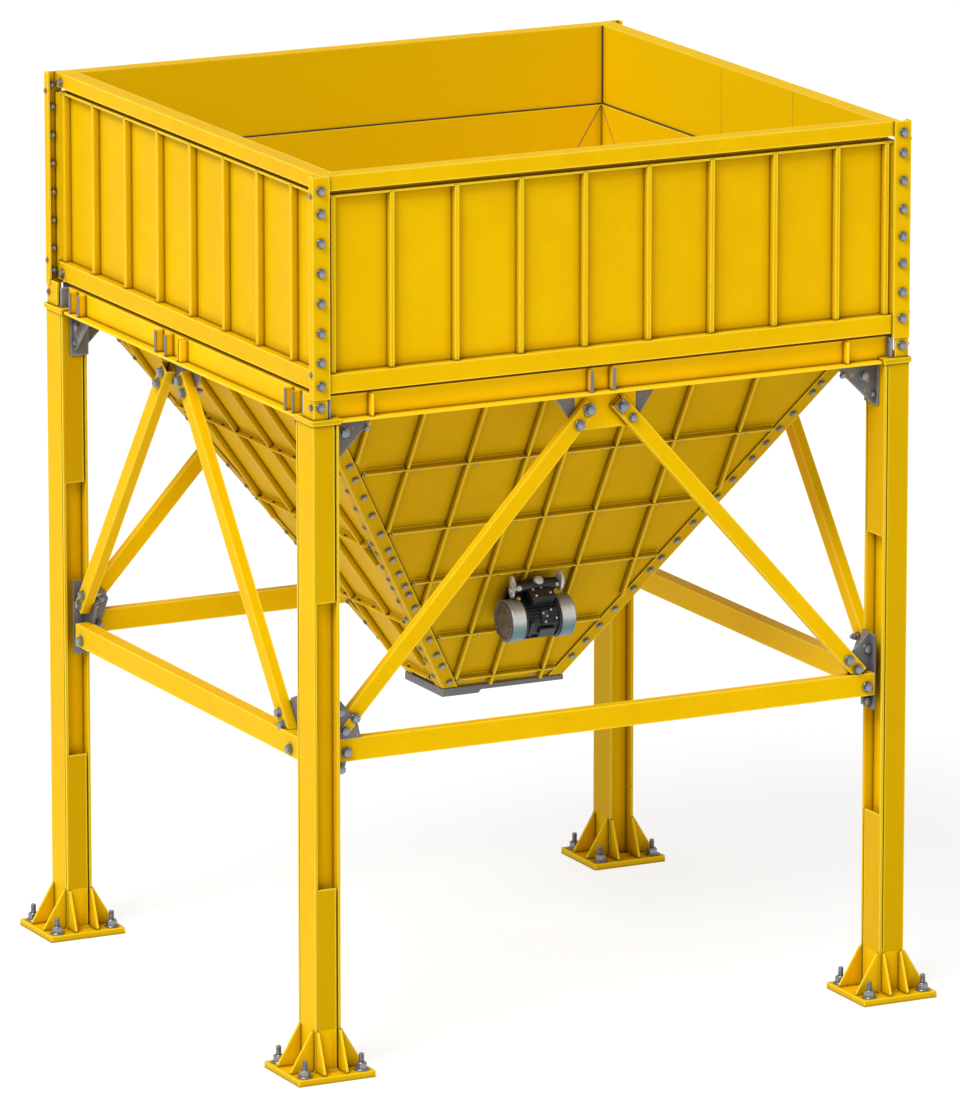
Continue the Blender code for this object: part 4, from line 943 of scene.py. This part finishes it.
turned(bm, axis_frame(MO @ Vector((0.010, 0.150, -0.082)), direction(MO, 1) + direction(MO, 2) * 0.3),
       [(0, 0), (0.024, 0), (0.024, 0.009), (0.020, 0.018), (0.012, 0.023), (0, 0.025)], 24)
for u, w in ((-0.030, -0.044), (0.014, -0.052), (0.046, -0.012), (-0.030, -0.002)):
    turned(bm, axis_frame(MO @ Vector((u, 0.139, w)), direction(MO, 1)), [(0, 0), (0.0068, 0), (0.0068, 0.003), (0.004, 0.0055), (0, 0.006)], 12)
for u, t in ((0.004, 0.022), (0.036, -0.030), (0.060, 0.010), (-0.004, -0.018), (0.014, -0.004)):
    turned(bm, axis_frame(pad @ Vector((u, 0.0955, t)), direction(pad, 1)), [(0, -0.002), (0.0052, -0.002), (0.0052, 0.003), (0.003, 0.0045), (0, 0.0048)], 12)
for u in (-0.110, 0.110):
    bolt(bm, MO @ Vector((u, -0.100, -M_W + 0.0423)), direction(MO, 2), 0.019, 0.3)
piece("motor_lugs", bm, CAST, 35)

# yellow zinc stay on the left of the motor
bm = bmesh.new()
for k in range(9):
    t0, t1 = math.radians(120 + 11 * k), math.radians(120 + 11 * (k + 1))
    c = Vector((-0.128, 0.085, -0.060))
    p = MO @ (c + Vector((0, 0.052 * math.cos(t0), 0.052 * math.sin(t0))))
    q = MO @ (c + Vector((0, 0.052 * math.cos(t1), 0.052 * math.sin(t1))))
    m = axis_frame(p, q - p)
    slab(bm, m, (-0.006, 0.006), (-0.003, 0.003), (-0.0005, (q - p).length + 0.0005), 0.0008)
for u, v, w in ((-0.100, 0.104, -0.030), (-0.136, 0.045, -0.052)):
    turned(bm, axis_frame(MO @ Vector((u, v, w)), direction(MO, 1)), [(0, -0.008), (0.011, -0.008), (0.011, 0.004), (0.007, 0.010), (0, 0.011)], 16)
piece("motor_stay", bm, ZINC, 30)

# covers: rolled rims and stepped end discs
bm = bmesh.new()
for a in (-1, 1):
    mm = AX if a > 0 else AX @ Matrix.Rotation(math.pi, 4, "X")
    turned(bm, mm, [(0.0900, 0.0930), (0.0985, 0.0930), (0.0998, 0.0945), (0.0998, 0.1010), (0.0985, 0.1025),
                    (0.0985, 0.1480), (0.0996, 0.1495), (0.0996, 0.1560), (0.0975, 0.1595), (0.0900, 0.1600)], 72)
piece("motor_cover_rims", bm, COVER_PAINTED_REFLECTION, 30)
bm = bmesh.new()
for a in (-1, 1):
    mm = AX if a > 0 else AX @ Matrix.Rotation(math.pi, 4, "X")
    turned(bm, mm, [(0, 0.1500), (0.0905, 0.1500), (0.0905, 0.1640), (0.0880, 0.1665), (0.0780, 0.1670), (0.0760, 0.1640),
                    (0.0500, 0.1655), (0.0480, 0.1685), (0.0180, 0.1690), (0.0160, 0.1670), (0, 0.1672)], 64)
piece("motor_cover_discs", bm, BRONZE, 30)
bm = bmesh.new()
for a in (-1, 1):
    mm = AX if a > 0 else AX @ Matrix.Rotation(math.pi, 4, "X")
    for k in range(6):
        t = math.radians(60 * k + 20)
        m2 = mm @ Matrix.Translation((0.0835 * math.cos(t), 0.0835 * math.sin(t), 0.1668))
        hex_head(bm, m2, 0.0085, 0.0, 0.0045)
piece("motor_cover_screws", bm, BOLT, 30)

# ----------------------------------------------------------------------------
# floor, lights and camera
# ----------------------------------------------------------------------------
n = Nodes("studio_floor")
n.set(Base_Color=n.mix(n.noise(0.35, 2.0), (0.27, 0.27, 0.27), (0.29, 0.29, 0.29)))
n.bsdf.inputs["Emission Color"].default_value = (1.0, 1.0, 1.0, 1.0)
n.bsdf.inputs["Emission Strength"].default_value = 0.76
n.mat.cycles.emission_sampling = "NONE"
n.bsdf.inputs["Roughness"].default_value = 0.9
n.bsdf.inputs["Specular IOR Level"].default_value = 0.1
bm = bmesh.new()
bmesh.ops.create_circle(bm, cap_ends=True, segments=96, radius=260.0, matrix=Matrix.Translation((0, 0, -0.0008)))
me = bpy.data.meshes.new("floor")
bm.to_mesh(me)
bm.free()
me.materials.append(n.mat)
floor = bpy.data.objects.new("floor", me)
bpy.context.scene.collection.objects.link(floor)

world = bpy.data.worlds.new("studio")
bpy.context.scene.world = world
world.use_nodes = True
nt = world.node_tree
nt.nodes.clear()
wo = nt.nodes.new("ShaderNodeOutputWorld")
bg = nt.nodes.new("ShaderNodeBackground")
tc = nt.nodes.new("ShaderNodeTexCoord")
sep = nt.nodes.new("ShaderNodeSeparateXYZ")
ramp = nt.nodes.new("ShaderNodeMapRange")
ramp.inputs["From Min"].default_value = 0.0
ramp.inputs["From Max"].default_value = 0.9
ramp.inputs["To Min"].default_value = 0.47
ramp.inputs["To Max"].default_value = 0.56
nt.links.new(tc.outputs["Generated"], sep.inputs[0])
nt.links.new(sep.outputs["Z"], ramp.inputs["Value"])
nt.links.new(ramp.outputs["Result"], bg.inputs["Strength"])
bg.inputs["Color"].default_value = (1.0, 1.0, 1.0, 1.0)
nt.links.new(bg.outputs["Background"], wo.inputs["Surface"])


def sun(name, towards, strength, angle, colour=(1, 1, 1)):
    li = bpy.data.lights.new(name, "SUN")
    li.energy = strength
    li.angle = math.radians(angle)
    li.color = colour
    ob = bpy.data.objects.new(name, li)
    ob.rotation_mode = "QUATERNION"
    ob.rotation_quaternion = Vector(towards).to_track_quat("Z", "Y")
    bpy.context.scene.collection.objects.link(ob)
    return ob


sun("key", (-0.56, -0.34, 0.76), 2.55, 30)

AZ, EL, DIST, LENS = -26.783, 13.350, 45.03, 317.64
TARGET = Vector((0.0401, 0.0, 1.9511))
a, e = math.radians(AZ), math.radians(EL)
back = Vector((math.sin(a) * math.cos(e), -math.cos(a) * math.cos(e), math.sin(e)))
cam = bpy.data.cameras.new("camera")
cam.sensor_width = 36.0
cam.lens = LENS
cam.clip_start, cam.clip_end = 1.0, 1000.0
cam_ob = bpy.data.objects.new("camera", cam)
cam_ob.location = TARGET + back * DIST
cam_ob.rotation_mode = "QUATERNION"
cam_ob.rotation_quaternion = (-back).to_track_quat("-Z", "Y")
bpy.context.scene.collection.objects.link(cam_ob)
bpy.context.scene.camera = cam_ob

bpy.context.scene.view_settings.view_transform = "Standard"
bpy.context.scene.view_settings.look = "None"
cy = bpy.context.scene.cycles
cy.max_bounces, cy.diffuse_bounces, cy.glossy_bounces, cy.transmission_bounces = 4, 3, 2, 0
cy.caustics_reflective = cy.caustics_refractive = False

bpy.context.view_layer.update()
